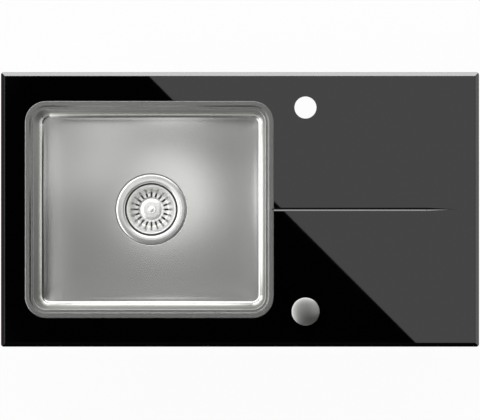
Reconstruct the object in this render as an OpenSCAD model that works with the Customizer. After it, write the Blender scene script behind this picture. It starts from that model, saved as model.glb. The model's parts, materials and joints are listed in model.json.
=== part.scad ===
// Glass kitchen sink: a ground glass deck, one pressed steel bowl, a drain groove,
// a tap hole, and a basket waste that a push button opens.
// +Z is up, +X runs to the drainer side and +Y to the back.
// The origin is the middle of the deck's outline, on the worktop that the sink lies on.

/* [Glass deck] */
// Length of the glass deck
deck_w = 780; // [720:5:1000]
// Distance from the bowl's rim to the deck's front and back edges
side_margin = 47; // [44:0.5:90]
// Thickness of the glass
glass_t = 6; // [5:0.5:8]
// Radius of the deck's corners
deck_corner_r = 4.5; // [2:0.5:12]
// Width of the ground bevel along the deck's edge
bevel_w = 6.3; // [3:0.1:8]
// Height of the ground bevel
bevel_h = 3; // [1.5:0.25:4]

/* [Drain groove] */
// Width of the V-groove in the glass
groove_w = 5.2; // [3:0.2:8]
// Depth of the V-groove
groove_depth = 1.1; // [0.6:0.1:2]
// Distance from the tip of the groove to the deck's right edge
groove_tip_margin = 40; // [25:1:120]
// Length over which the groove runs out
groove_runout = 46; // [20:1:80]
// Length of the notch that the groove makes in the rim
notch_len = 3.4; // [2:0.2:5]

/* [Holes in the deck] */
// Diameter of the tap hole and of the button hole
hole_d = 36; // [35:0.5:40]
// Distance from the bowl's rim to the line of both holes
hole_gap = 51.7; // [45:0.1:70]
// Distance from the deck's front and back edges to the hole centres
hole_margin = 57.7; // [50:0.1:80]

/* [Bowl] */
// Length of the bowl over its rim
bowl_w = 406; // [340:2:440]
// Depth of the bowl over its rim, front to back
bowl_d = 354; // [310:2:370]
// Distance from the deck's left edge to the bowl's rim
bowl_margin = 39.1; // [36:0.1:60]
// Depth of the bowl under the deck
bowl_depth = 190; // [140:5:220]
// Radius of the rim's outer corners
bowl_corner_r = 35; // [30:1:60]
// Thickness of the steel sheet
sheet_t = 0.9; // [0.7:0.1:1.2]
// Width of the rim's flat
rim_flat = 7.8; // [6:0.2:10]
// Height of the rim's flat over the glass
rim_h = 1.5; // [1.3:0.1:2]
// Drop from the rim's flat to the inner ledge
rim_step = 0.4; // [0.2:0.1:0.5]
// Radius of the fold from the rim to the wall
fold_r = 5; // [3:0.5:7]
// Inward lean of the walls from top to bottom
wall_lean = 2.2; // [1:0.1:4]
// Radius between the walls and the floor
floor_r = 9; // [6:0.5:12]
// Radius of the dished part of the floor
dish_r = 138; // [110:1:142]
// Fall of the floor to the waste
floor_fall = 3; // [1:0.5:5]
// Depth of the recess round the waste
recess_depth = 2.2; // [1.5:0.1:4]

/* [Strainer] */
// Diameter of the strainer's flange
flange_d = 115; // [110:1:120]
// Diameter of the hole in the bowl
waste_hole_d = 91; // [90:0.5:94]
// Inner diameter of the strainer's throat
throat_d = 88; // [84:0.5:88]
// Depth of the strainer cup
cup_depth = 33; // [30:1:45]
// Thickness of the strainer cup's sheet
cup_t = 1; // [0.8:0.1:1.2]
// Number of drain holes in the cup's floor
cup_holes = 8; // [6:1:10]
// Diameter of a drain hole in the cup's floor
cup_hole_d = 12; // [8:0.5:13]

/* [Basket] */
// Depth of the basket
basket_depth = 20.7; // [16:0.5:21]
// Thickness of the basket's sheet
basket_t = 0.7; // [0.5:0.1:0.9]
// Number of slots in the basket
slots = 20; // [12:1:24]
// Width of a slot
slot_w = 2.4; // [1.5:0.1:3]
// Radius at which the slots start
slot_in_r = 22.2; // [21.8:0.1:24]
// Radius at which the slots end
slot_out_r = 35; // [31:0.5:36]
// Height of the boss in the middle of the basket
boss_h = 6.5; // [4:0.5:8]
// Diameter of the raised disc
disc_d = 30; // [24:1:31]
// Thickness of the raised disc
disc_t = 1.5; // [1:0.1:2]
// Diameter of the knob
knob_d = 13.4; // [10:0.2:16]
// Height of the knob over the disc
knob_h = 8; // [6:0.5:10]

/* [Waste body] */
// Wall of the waste body
body_wall = 3.2; // [2.5:0.1:4]
// Radius of the threaded outlet
outlet_r = 23.9; // [20:0.1:26]
// Length of the outlet's thread
outlet_len = 18; // [14:1:24]
// Height of the boss that takes the hollow screw
screw_boss_h = 10; // [8:0.5:14]
// Radius of the hollow screw's shank
screw_r = 6; // [5.5:0.25:7]
// Radius of the lifting pin
pin_r = 3; // [2.5:0.1:3.5]
// Length of the arm that lifts the pin
arm_len = 22; // [18:0.5:26]
// Half of the angle that the arm swings through
half_swing = 12; // [8:0.5:14]
// Radius of the crank's shaft
shaft_r = 3; // [2.5:0.1:3.5]

/* [Push button] */
// Diameter of the button's cap
cap_d = 45.5; // [43:0.5:50]
// Rise of the cap's dome
dome_h = 2.6; // [1.5:0.1:4]
// Height of the cap's skirt
skirt_h = 3.4; // [2.5:0.1:5]
// Travel of the button
button_travel = 7; // [5:0.5:8]
// Radius of the collar's threaded shank
shank_r = 16; // [15:0.25:17]
// Diameter of the button's stem
stem_d = 8; // [6:0.5:9]
// Wire of the button's spring
spring_wire = 1.2; // [0.8:0.1:1.6]
// Number of turns of the button's spring
spring_turns = 6; // [5:1:8]

/* [Carrier and clamps] */
// Thickness of the worktop gasket
gasket_t = 2; // [1.5:0.25:4]
// Width of the worktop gasket
gasket_w = 9; // [6:0.5:11]
// Thickness of the silicone between glass and carrier
bond_t = 0.7; // [0.5:0.1:1.5]
// Thickness of the carrier's sheet
tray_t = 0.8; // [0.6:0.1:1.2]
// Distance from the glass edge to the carrier's edge
overhang = 4; // [2:0.5:8]
// Height of the clip rails
rail_h = 16; // [14:1:20]
// Width of the clip rails' legs
rail_leg = 12; // [10:0.5:14]
// Thickness of the worktop that the clamps are set for
worktop_t = 38; // [28:1:50]
// Width of a clamp
clamp_w = 22; // [16:1:26]
// Distance between clamps on the long sides
clamp_pitch = 250; // [200:5:270]
// Radius of the clamp screws
clamp_screw_r = 3; // [2.5:0.5:3]

/* [Sound pads] */
// Thickness of the sound pads
pad_t = 2.5; // [1.5:0.5:4]
// Height of the pads on the walls
wall_pad_h = 90; // [50:5:110]
// Length of the wall pads as a share of the wall
wall_pad_share = 0.6; // [0.3:0.05:0.8]

/* [Hidden] */
$fn = 64;

// Clearances
slip = 0.1; // sliding and screwed fits, on the radius
seat_gap = 0.3; // soft or moving pieces that rest on each other
play = 0.5; // ends of travel
over = 1; // how far a cut runs past a face

// Levels and outlines of the deck
deck_d = bowl_d + 2 * side_margin;
bond_z = gasket_t + tray_t;
glass_z = bond_z + bond_t;
deck_z = glass_z + glass_t;
tray_w = deck_w - 2 * overhang;
tray_d = deck_d - 2 * overhang;
tray_lip = 1.5;
tray_corner_r = 4;
gasket_gap = 0.4;
gasket_inset = tray_t + gasket_gap;
rail_inset = gasket_inset + gasket_w + 1.3;
rail_web_x = tray_w / 2 - rail_inset;
rail_web_y = tray_d / 2 - rail_inset;
rail_t = 0.8;
rail_end = 24;
rail_z = gasket_t - rail_h;

// Bowl, worked out from its rim inwards
bowl_x = -deck_w / 2 + bowl_margin + bowl_w / 2;
rim_edge_r = 1.2;
rim_lip = 0.15;
ledge_h = rim_h - rim_step;
step_run = 0.8;
ledge_u = rim_flat + step_run;
fold_u = ledge_u + 0.7;
wall_top_u = fold_u + fold_r;
wall_foot_u = wall_top_u + wall_lean;
floor_u = wall_foot_u + floor_r;
opening_u = fold_u + 0.2;
floor_z = deck_z - bowl_depth;
dish_z = floor_z - floor_fall;
seat_z = dish_z - recess_depth;
recess_r = flange_d / 2 + 1.2;
dish_flat = 2;
rim_bond_h = rim_h - sheet_t;
rim_bond_in = 1.8;

// Strainer, measured from the underside of its flange
strainer_seal_t = 1.2;
cup_z = seat_z + strainer_seal_t;
cup_floor_z = cup_z - cup_depth + cup_t;
flange_r = flange_d / 2;
throat_r = throat_d / 2;
throat_round = 3.6;
cup_taper = 1.8;
cup_foot_r = 5;
screw_head_r = 9.5;
screw_head_h = 2.5;
cup_hole_ring_r = 24;

// Basket, measured from the same level
seal_out_r = throat_r - seat_gap;
seal_band = 1.7;
basket_rim_z = cup_z - 3.3;
basket_rim_r = seal_out_r - seal_band - slip;
basket_lip = 2.1;
basket_floor_z = basket_rim_z - basket_depth;
basket_foot_r = 27.4;
boss_foot_r = 21.6;
boss_top_r = 16.4;
boss_top_z = basket_floor_z + boss_h;
rivet_r = 2.1;
socket_r = 7.5;
socket_h = 10;
socket_depth = 7.5;

// Waste body and lifting gear
body_seal_t = 2;
body_z = seat_z - sheet_t - body_seal_t;
body_flange_r = flange_r;
body_in_r = waste_hole_d / 2 + 1;
body_out_r = body_in_r + body_wall;
body_flange_t = 4;
weld_lip = 2;
outlet_collar = 3;
outlet_cone_h = 12;
outlet_collar_h = 6;
screw_boss_z = cup_floor_z - cup_t;
screw_foot_z = screw_boss_z - screw_boss_h;
screw_boss_r = screw_r + 3.5;
lift = 2 * arm_len * sin(half_swing);
foot_t = 2.5;
foot_r = 5;
foot_z = screw_foot_z - lift - play - foot_t;
tip_r = 3;
tip_z = foot_z - seat_gap - tip_r;
shaft_z = tip_z + arm_len * sin(half_swing);
body_bottom_z = tip_z - tip_r - 3;
outlet_top_z = body_bottom_z - outlet_cone_h;
outlet_bottom_z = outlet_top_z - outlet_collar_h - outlet_len;
outlet_in_r = outlet_r - 3.4;
bridge_ring_t = 2;
spoke_t = 3;
spokes = 4;
shaft_boss_r = shaft_r + 5;
shaft_boss_y = body_out_r + 6.3;
shaft_end_y = body_out_r - 1;
nose_r = shaft_r + 3;
nose_len = 7;
bracket_t = 3;
gland_cap_t = 3;
gland_y = shaft_boss_y + bracket_t;
gland_len = nose_len - bracket_t + gland_cap_t;
lever_y = gland_y + gland_len + play;
lever_t = 4;
lever_len = 22;
lever_hub_r = 6.5;
lever_pin_r = 2;
ear_x = 40;
ear_h = 20;
ear_t = 3;
ear_w = 14;
gland_back = 4;
gland_nose = 10;
cable_z = shaft_z - lever_len * cos(half_swing);
cable_y = lever_y + lever_t / 2;
cable_r = 1.6;
bush_r = 5;

// Push button
hole_r = hole_d / 2;
hole_x = bowl_x + bowl_w / 2 + hole_gap;
hole_y = deck_d / 2 - hole_margin;
tray_hole_r = hole_r + 1.5;
collar_gasket_t = 0.8;
collar_z = deck_z + collar_gasket_t;
collar_flange_t = 1.5;
cap_t = 1.3;
sleeve_gap = 0.5;
cap_r = cap_d / 2;
sleeve_r = cap_r - cap_t - sleeve_gap;
collar_flange_r = cap_r - 0.9;
skirt_z = collar_z + collar_flange_t + button_travel + 0.4;
skirt_top_z = skirt_z + skirt_h;
cap_under_z = skirt_top_z - cap_t;
sleeve_top_z = cap_under_z - button_travel - play;
stem_r = stem_d / 2;
spring_r = stem_r + 4;
pocket_r = spring_r + spring_wire + 0.8;
shelf_z = -3;
shank_below = 20;
shank_bottom_z = shelf_z - shank_below;
washer_r = 24;
washer_t = 2;
nut_t = 8;
box_r = shank_r + 2;
box_wall = 3;
box_grip = 8;
box_nose_r = 6;
box_nose_h = 6;
box_cap_h = 9;
box_depth = 26;
box_bottom_z = shank_bottom_z - box_depth;
stem_bottom_z = box_bottom_z + box_wall + button_travel + 6;

// Pads
spot_pad_r = 15;
deck_pad_w = 180;
deck_pad_d = 200;

// Clamps, with x outward from the web of the rail
hook_t = 1.5;
hook_in = 30;
hook_out = 1.3;
tab_z = rail_z + rail_t;
guide_drop = 11;
screw_in = 24;
jaw_t = 2;
jaw_in = 34;
toe_out = 14;
jaw_w = clamp_w - 4;
toe_h = 7.7;
jaw_z = -worktop_t - seat_gap - toe_h - jaw_t;
clamp_nut_w = 10;
clamp_nut_t = 5;
screw_tail = 3;
rib_h = 6;
CLAMPS = [
    [0, 0], [1, -clamp_pitch], [1, 0], [1, clamp_pitch],
    [2, 0], [3, -clamp_pitch], [3, 0], [3, clamp_pitch]
];

// Points of an arc round c, from angle a to angle b
function arc(c, r, a, b, n = 7) = [
    for (i = [0 : n]) c + r * [cos(a + (b - a) * i / n), sin(a + (b - a) * i / n)]
];

function unit(v) = v / norm(v);

function left_of(a, b) = let (d = unit(b - a)) [-d[1], d[0]];

// The line p moved t to the right of its own direction
function offset_line(p, t) = [
    for (i = [0 : len(p) - 1])
        let (
            i0 = max(i - 1, 0),
            i1 = min(i, len(p) - 2),
            n0 = left_of(p[i0], p[i0 + 1]),
            n1 = left_of(p[i1], p[i1 + 1]),
            m = unit(n0 + n1)
        )
        p[i] - m * t / (m * n0)
];

// Outline of a sheet of thickness t whose wet face follows the line p
function sheet_outline(p, t) =
    let (back = offset_line(p, t))
    concat(p, [for (i = [len(p) - 1 : -1 : 0]) back[i]]);

module rounded_outline(w, d, r) {
    square([w - 2 * r, d], center = true);
    square([w, d - 2 * r], center = true);
    for (x = [-1, 1], y = [-1, 1])
        translate([x * (w / 2 - r), y * (d / 2 - r)]) circle(r);
}

// Sweeps a profile round a rounded rectangle: profile x runs inward from the outline
module swept_frame(w, d, r) {
    for (k = [0 : 3]) {
        half = k % 2 == 0 ? w / 2 : d / 2;
        run = (k % 2 == 0 ? d : w) - 2 * r;
        rotate([0, 0, 90 * k]) {
            translate([half, run / 2, 0]) rotate([90, 0, 0])
                linear_extrude(run) mirror([1, 0]) children();
            translate([half - r, run / 2, 0])
                rotate_extrude(angle = 90) translate([r, 0]) mirror([1, 0]) children();
        }
    }
}

module flat_ring(r_out, r_in, z, h) {
    translate([0, 0, z]) difference() {
        cylinder(h = h, r = r_out);
        translate([0, 0, -over]) cylinder(h = h + 2 * over, r = r_in);
    }
}

module at_bowl() {
    translate([bowl_x, 0, 0]) children();
}

module at_tap() {
    translate([hole_x, hole_y, 0]) children();
}

module at_button() {
    translate([hole_x, -hole_y, 0]) children();
}

module at_clamps() {
    for (c = CLAMPS)
        rotate([0, 0, 90 * c[0]])
            translate([c[0] % 2 == 0 ? rail_web_x : rail_web_y, c[1], 0]) children();
}

// The crank's shaft runs along Y beside the waste's axis
module at_crank() {
    translate([bowl_x + arm_len * cos(half_swing), 0, shaft_z]) children();
}

// Deck
module bevel_cutter(half, run) {
    translate([half, run, glass_z + glass_t]) rotate([90, 0, 0]) linear_extrude(2 * run)
        polygon([
            [-bevel_w * (1 + over / bevel_h), over],
            [over, over],
            [over, -bevel_h * (1 + over / bevel_w)]
        ]);
}

module groove_cutter() {
    start_x = bowl_x + bowl_w / 2 - opening_u - over;
    tip_x = deck_w / 2 - groove_tip_margin;
    run_x = tip_x - groove_runout;
    slope = atan(groove_depth / groove_runout);
    flank = groove_w / 2 / groove_depth;
    v = [[-flank * (groove_depth + over), over], [flank * (groove_depth + over), over], [0, -groove_depth]];
    translate([run_x, 0, deck_z]) {
        rotate([90, 0, -90]) linear_extrude(run_x - start_x) polygon(v);
        rotate([0, -slope, 0]) rotate([90, 0, 90]) linear_extrude(groove_runout + over)
            polygon([v[0], v[1], [0, -groove_depth * cos(slope)]]);
    }
}

module glass_deck() {
    color([0.01, 0.01, 0.012]) difference() {
        translate([0, 0, glass_z]) linear_extrude(glass_t)
            rounded_outline(deck_w, deck_d, deck_corner_r);
        for (k = [0 : 3])
            rotate([0, 0, 90 * k]) bevel_cutter(k % 2 == 0 ? deck_w / 2 : deck_d / 2, deck_w);
        at_bowl() translate([0, 0, glass_z - over]) linear_extrude(glass_t + 2 * over)
            rounded_outline(bowl_w - 2 * opening_u, bowl_d - 2 * opening_u, bowl_corner_r - opening_u);
        at_tap() translate([0, 0, glass_z - over]) cylinder(h = glass_t + 2 * over, r = hole_r);
        at_button() translate([0, 0, glass_z - over]) cylinder(h = glass_t + 2 * over, r = hole_r);
        groove_cutter();
    }
}

// Beads of silicone: round the edge, round the bowl and round both holes
module deck_bond() {
    bead_w = 12;
    color([0.06, 0.06, 0.06]) {
        translate([0, 0, bond_z]) swept_frame(tray_w - 4, tray_d - 4, tray_corner_r)
            square([tray_corner_r, bond_t]);
        at_bowl() translate([0, 0, bond_z])
            swept_frame(bowl_w + 2 * bead_w - 2 * opening_u, bowl_d + 2 * bead_w - 2 * opening_u,
                bowl_corner_r) translate([2, 0]) square([bead_w - 4, bond_t]);
        at_tap() flat_ring(tray_hole_r + 9, tray_hole_r + 1, bond_z, bond_t);
        at_button() flat_ring(tray_hole_r + 9, tray_hole_r + 1, bond_z, bond_t);
    }
}

module carrier_tray() {
    color([0.62, 0.63, 0.64]) difference() {
        union() {
            translate([0, 0, gasket_t]) linear_extrude(tray_t)
                rounded_outline(tray_w, tray_d, tray_corner_r);
            translate([0, 0, gasket_t - tray_lip])
                swept_frame(tray_w, tray_d, tray_corner_r) square([tray_t, tray_lip]);
        }
        at_bowl() translate([0, 0, gasket_t - over]) linear_extrude(tray_t + 2 * over)
            rounded_outline(bowl_w - 2 * opening_u, bowl_d - 2 * opening_u, bowl_corner_r - opening_u);
        at_tap() translate([0, 0, gasket_t - over]) cylinder(h = tray_t + 2 * over, r = tray_hole_r);
        at_button() translate([0, 0, gasket_t - over]) cylinder(h = tray_t + 2 * over, r = tray_hole_r);
    }
}

module rail_profile() {
    difference() {
        translate([-rail_leg, 0]) square([rail_leg, rail_h]);
        translate([-rail_leg - over, rail_t])
            square([rail_leg + over - rail_t, rail_h - 2 * rail_t]);
    }
}

module clip_rails() {
    color([0.7, 0.71, 0.72])
    for (k = [0 : 3]) {
        web = k % 2 == 0 ? rail_web_x : rail_web_y;
        run = 2 * ((k % 2 == 0 ? rail_web_y : rail_web_x) - rail_end);
        rotate([0, 0, 90 * k]) translate([web, run / 2, rail_z]) rotate([90, 0, 0])
            linear_extrude(run) rail_profile();
    }
}

module worktop_gasket() {
    color([0.12, 0.12, 0.12])
        swept_frame(tray_w - 2 * gasket_inset, tray_d - 2 * gasket_inset, gasket_w + 1)
            square([gasket_w, gasket_t]);
}

// Bowl
function rim_line() = concat(
    [[0, rim_lip]],
    arc([rim_edge_r, rim_h - rim_edge_r], rim_edge_r, 180, 90, 4),
    [[rim_flat, rim_h], [ledge_u, ledge_h]],
    arc([fold_u, ledge_h - fold_r], fold_r, 90, 0, 6)
);

function bowl_line() = concat(
    rim_line(),
    arc([floor_u, floor_r - bowl_depth], floor_r, 180, 270, 6),
    [[bowl_corner_r, -bowl_depth]]
);

function dish_line() = [
    [dish_r + dish_flat, floor_z],
    [dish_r, floor_z],
    [recess_r + 1.5, dish_z],
    [recess_r + 0.8, dish_z - 0.4],
    [recess_r, seat_z],
    [waste_hole_d / 2, seat_z]
];

module bowl() {
    centre_w = bowl_w - 2 * bowl_corner_r;
    centre_d = bowl_d - 2 * bowl_corner_r;
    color([0.72, 0.72, 0.7]) at_bowl() difference() {
        union() {
            translate([0, 0, deck_z]) swept_frame(bowl_w, bowl_d, bowl_corner_r)
                polygon(sheet_outline(bowl_line(), sheet_t));
            difference() {
                translate([-centre_w / 2, -centre_d / 2, floor_z - sheet_t])
                    cube([centre_w, centre_d, sheet_t]);
                translate([0, 0, floor_z - sheet_t - over])
                    cylinder(h = sheet_t + 2 * over, r = dish_r + dish_flat);
            }
            rotate_extrude() mirror([1, 0]) polygon([
                for (p = sheet_outline([for (q = dish_line()) [-q[0], q[1]]], sheet_t)) p
            ]);
        }
        translate([bowl_w / 2 - notch_len, 0, deck_z - rim_lip])
            rotate([90, 0, 90]) linear_extrude(notch_len + over)
                polygon([[0, 0], [groove_w / 2, rim_h + over], [-groove_w / 2, rim_h + over]]);
    }
}

module bowl_bond() {
    color([0.06, 0.06, 0.06]) at_bowl() translate([0, 0, deck_z])
        swept_frame(bowl_w, bowl_d, bowl_corner_r)
            translate([rim_bond_in, 0]) square([rim_flat - rim_bond_in - 0.6, rim_bond_h]);
}

// A wall pad follows the lean of the wall
module wall_pad(half, run) {
    wall_h = bowl_depth - floor_r - fold_r;
    lean = wall_lean / wall_h;
    top = deck_z - (bowl_depth - wall_pad_h) * 0.72;
    u_top = wall_top_u + lean * (deck_z - top - fold_r) - sheet_t;
    u_foot = u_top + lean * wall_pad_h;
    translate([half, run / 2, 0]) rotate([90, 0, 0]) linear_extrude(run) mirror([1, 0])
        polygon([
            [u_top, top], [u_top - pad_t, top],
            [u_foot - pad_t, top - wall_pad_h], [u_foot, top - wall_pad_h]
        ]);
}

module bowl_pads() {
    color([0.15, 0.15, 0.16]) at_bowl() {
        for (k = [0 : 3])
            rotate([0, 0, 90 * k])
                wall_pad(k % 2 == 0 ? bowl_w / 2 : bowl_d / 2,
                    wall_pad_share * (k % 2 == 0 ? bowl_d : bowl_w));
        for (x = [-1, 1], y = [-1, 1])
            translate([x * (bowl_w / 2 - floor_u - 1.2 * spot_pad_r),
                y * (bowl_d / 2 - floor_u - 1.2 * spot_pad_r), floor_z - sheet_t - pad_t])
                cylinder(h = pad_t, r = spot_pad_r);
    }
}

module deck_pad() {
    color([0.15, 0.15, 0.16])
        translate([deck_w / 2 - groove_tip_margin - deck_pad_w, -deck_pad_d / 2, gasket_t - pad_t])
            cube([deck_pad_w, deck_pad_d, pad_t]);
}

// Clamps
module clamp_brackets() {
    color([0.7, 0.71, 0.72]) at_clamps() difference() {
        union() {
            translate([-hook_in, -clamp_w / 2, tab_z]) cube([hook_in - hook_out, clamp_w, hook_t]);
            translate([-hook_out - hook_t, -clamp_w / 2, tab_z]) cube([hook_t, clamp_w, 5]);
            translate([-rail_leg - seat_gap - hook_t, -clamp_w / 2, tab_z - guide_drop])
                cube([hook_t, clamp_w, guide_drop + hook_t]);
        }
        translate([-screw_in, 0, tab_z - over])
            cylinder(h = hook_t + 2 * over, r = clamp_screw_r + slip);
    }
}

module clamp_jaws() {
    heel_top = tab_z - seat_gap;
    color([0.66, 0.67, 0.68]) at_clamps() difference() {
        union() {
            translate([-jaw_in, -jaw_w / 2, jaw_z]) cube([jaw_in + toe_out, jaw_w, jaw_t]);
            translate([-jaw_in, -jaw_w / 2, jaw_z]) cube([jaw_t, jaw_w, -worktop_t - jaw_z]);
            translate([toe_out - jaw_t, -jaw_w / 2, jaw_z]) cube([jaw_t, jaw_w, jaw_t + toe_h]);
            for (y = [-jaw_w / 2, jaw_w / 2 - hook_t])
                translate([-jaw_in, y, jaw_z]) cube([jaw_in + toe_out, hook_t, jaw_t + rib_h / 2]);
            translate([-jaw_in, -jaw_w / 2, jaw_z])
                cube([jaw_t, jaw_w, heel_top - jaw_z - hook_t]);
            translate([-jaw_in, -jaw_w / 2, heel_top - hook_t])
                cube([jaw_in - hook_in + 1.5, jaw_w, hook_t]);
        }
        translate([-screw_in, 0, jaw_z - over])
            cylinder(h = jaw_t + 2 * over, r = clamp_screw_r + seat_gap);
        for (y = [-1, 0, 1])
            translate([toe_out - jaw_t - over, y * jaw_w / 3, jaw_z + jaw_t + toe_h])
                rotate([90, 0, 90]) linear_extrude(jaw_t + 2 * over)
                    polygon([[-2, over], [2, over], [0, -2]]);
    }
}

module clamp_screws() {
    head_h = 4;
    head_r = 2 * clamp_screw_r;
    top = tab_z + hook_t + clamp_nut_t + screw_tail;
    color([0.75, 0.75, 0.76]) at_clamps() translate([-screw_in, 0, 0]) difference() {
        union() {
            translate([0, 0, jaw_z - head_h]) cylinder(h = head_h, r = head_r);
            translate([0, 0, jaw_z - over]) cylinder(h = top - jaw_z + over, r = clamp_screw_r);
        }
        for (a = [0, 90])
            rotate([0, 0, a]) translate([-head_r * 0.7, -0.6, jaw_z - head_h - over])
                cube([head_r * 1.4, 1.2, over + 2]);
    }
}

module clamp_nuts() {
    color([0.75, 0.75, 0.76]) at_clamps() translate([-screw_in, 0, tab_z + hook_t]) difference() {
        translate([-clamp_nut_w / 2, -clamp_nut_w / 2, 0])
            cube([clamp_nut_w, clamp_nut_w, clamp_nut_t]);
        translate([0, 0, -over]) cylinder(h = clamp_nut_t + 2 * over, r = clamp_screw_r + slip / 2);
    }
}

// Strainer
function cup_line() = concat(
    [[flange_r, cup_t - 0.6], [flange_r - 0.4, cup_t], [flange_r - 1.3, cup_t + 0.4]],
    [[flange_r - 4, cup_t + 0.7], [throat_r + throat_round + 2, cup_t + 0.2]],
    arc([throat_r + throat_round, cup_t - throat_round], throat_round, 90, 180, 6),
    [[throat_r, -8]],
    arc([throat_r - cup_taper - cup_foot_r, cup_foot_r - cup_depth + cup_t], cup_foot_r, 0, -90, 5),
    [[screw_r + slip, cup_t - cup_depth]]
);

// The cup's line runs inward and down, so its wet face lies on the right
module strainer_cup() {
    color([0.8, 0.8, 0.79]) at_bowl() translate([0, 0, cup_z]) difference() {
        rotate_extrude() mirror([1, 0])
            polygon(sheet_outline([for (p = cup_line()) [-p[0], p[1]]], cup_t));
        for (i = [0 : cup_holes - 1])
            rotate([0, 0, 360 * i / cup_holes]) translate([cup_hole_ring_r, 0, -cup_depth - over])
                cylinder(h = cup_t + 2 * over, d = cup_hole_d);
    }
}

module strainer_seal() {
    color([0.1, 0.1, 0.1]) at_bowl()
        flat_ring(flange_r - 3, throat_r + throat_round + slip, seat_z, strainer_seal_t);
}

module body_seal() {
    color([0.1, 0.1, 0.1]) at_bowl()
        flat_ring(body_flange_r - 1, body_in_r + 1, body_z, body_seal_t);
}

// Basket
function basket_line() = concat(
    [[basket_rim_r, basket_rim_z], [basket_rim_r - basket_lip, basket_rim_z]],
    [[basket_rim_r - basket_lip - 0.8, basket_rim_z - 0.8]],
    arc([basket_foot_r, basket_floor_z + 3], 3, -15, -90, 4),
    [[boss_foot_r + 1.4, basket_floor_z], [boss_foot_r, basket_floor_z + 0.8]],
    [[boss_foot_r - 1.4, basket_floor_z + boss_h * 0.5]],
    [[boss_top_r + 1.2, boss_top_z - 0.7], [boss_top_r - 0.6, boss_top_z], [rivet_r + slip, boss_top_z]]
);

module basket_cup() {
    color([0.82, 0.82, 0.81]) at_bowl() difference() {
        rotate_extrude() mirror([1, 0])
            polygon(sheet_outline([for (p = basket_line()) [-p[0], p[1]]], basket_t));
        for (i = [0 : slots - 1])
            rotate([0, 0, 360 * i / slots])
                translate([slot_in_r, -slot_w / 2, basket_floor_z - basket_t - over])
                    cube([slot_out_r - slot_in_r, slot_w, basket_depth]);
    }
}

module basket_seal() {
    lip_z = basket_rim_z - basket_t;
    color([0.05, 0.05, 0.05]) at_bowl() rotate_extrude() polygon([
        [basket_rim_r + slip, basket_rim_z + 0.3],
        [seal_out_r - 0.4, basket_rim_z + 0.3],
        [seal_out_r, basket_rim_z - 0.1],
        [seal_out_r, lip_z - 1.6],
        [seal_out_r - 0.4, lip_z - 2],
        [basket_rim_r - 1.4, lip_z - 2],
        [basket_rim_r - 1.4, lip_z],
        [basket_rim_r + slip, lip_z]
    ]);
}

module basket_disc() {
    color([0.8, 0.8, 0.8]) at_bowl() translate([0, 0, boss_top_z]) rotate_extrude() polygon([
        [rivet_r + slip, 0],
        [disc_d / 2 - 0.3, 0],
        [disc_d / 2, 0.3],
        [disc_d / 2, disc_t * 0.55],
        [disc_d / 2 - 0.8, disc_t * 0.85],
        [disc_d / 2 - 3, disc_t],
        [rivet_r + slip, disc_t]
    ]);
}

// The knob's rivet passes through disc, basket and socket
module basket_knob() {
    neck_r = knob_d * 0.3;
    ball_r = knob_d / 2;
    ball_z = knob_h - ball_r * 0.62;
    color([0.85, 0.85, 0.85]) at_bowl() translate([0, 0, boss_top_z + disc_t]) rotate_extrude()
        polygon(concat(
            [[0, -disc_t - basket_t - 2], [rivet_r, -disc_t - basket_t - 2], [rivet_r, 0]],
            [[neck_r + 1.2, 0], [neck_r, 1], [neck_r, ball_z - ball_r * 0.5]],
            [for (a = [-30 : 15 : 90]) [ball_r * cos(a), ball_z + ball_r * 0.62 * sin(a)]]
        ));
}

module basket_socket() {
    top = boss_top_z - basket_t;
    color([0.2, 0.2, 0.2]) at_bowl() difference() {
        union() {
            translate([0, 0, top - socket_h]) cylinder(h = socket_h, r = socket_r);
            translate([0, 0, top - 1.5]) cylinder(h = 1.5, r = boss_top_r - 3.5);
        }
        translate([0, 0, top - 2 - slip]) cylinder(h = 2 + slip + over, r = rivet_r + slip / 2);
        translate([0, 0, top - socket_h - over]) cylinder(h = socket_depth - 2.5 + over, r = pin_r + slip);
    }
}

// Waste body: a flanged drum with a boss for the crank's shaft
module waste_body() {
    color([0.9, 0.9, 0.88]) difference() {
        union() {
            at_bowl() rotate_extrude() polygon([
                [body_in_r, body_z],
                [body_flange_r, body_z],
                [body_flange_r, body_z - body_flange_t],
                [body_out_r + 2, body_z - body_flange_t],
                [body_out_r, body_z - body_flange_t - 2],
                [body_out_r, body_bottom_z],
                [body_in_r, body_bottom_z]
            ]);
            difference() {
                at_crank() rotate([90, 0, 0]) {
                    cylinder(h = shaft_boss_y, r = shaft_boss_r);
                    cylinder(h = shaft_boss_y + nose_len, r = nose_r);
                    translate([0, 0, -body_out_r - 2]) cylinder(h = body_out_r, r = shaft_boss_r);
                }
                at_bowl() translate([0, 0, body_bottom_z - over])
                    cylinder(h = body_z - body_bottom_z, r = body_in_r);
            }
        }
        at_crank() translate([0, shaft_end_y, 0]) rotate([90, 0, 0])
            cylinder(h = shaft_end_y + shaft_boss_y + nose_len + over, r = shaft_r + slip / 2);
    }
}

// Cone and threaded pipe, welded under the drum
module waste_outlet() {
    color([0.9, 0.9, 0.88]) at_bowl() rotate_extrude() polygon([
        [body_in_r, body_bottom_z],
        [body_out_r + weld_lip, body_bottom_z],
        [body_out_r + weld_lip, body_bottom_z - weld_lip],
        [outlet_r + outlet_collar, outlet_top_z - 2],
        [outlet_r + outlet_collar, outlet_bottom_z + outlet_len],
        [outlet_r, outlet_bottom_z + outlet_len],
        [outlet_r, outlet_bottom_z],
        [outlet_in_r, outlet_bottom_z],
        [outlet_in_r, outlet_top_z]
    ]);
}

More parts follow.
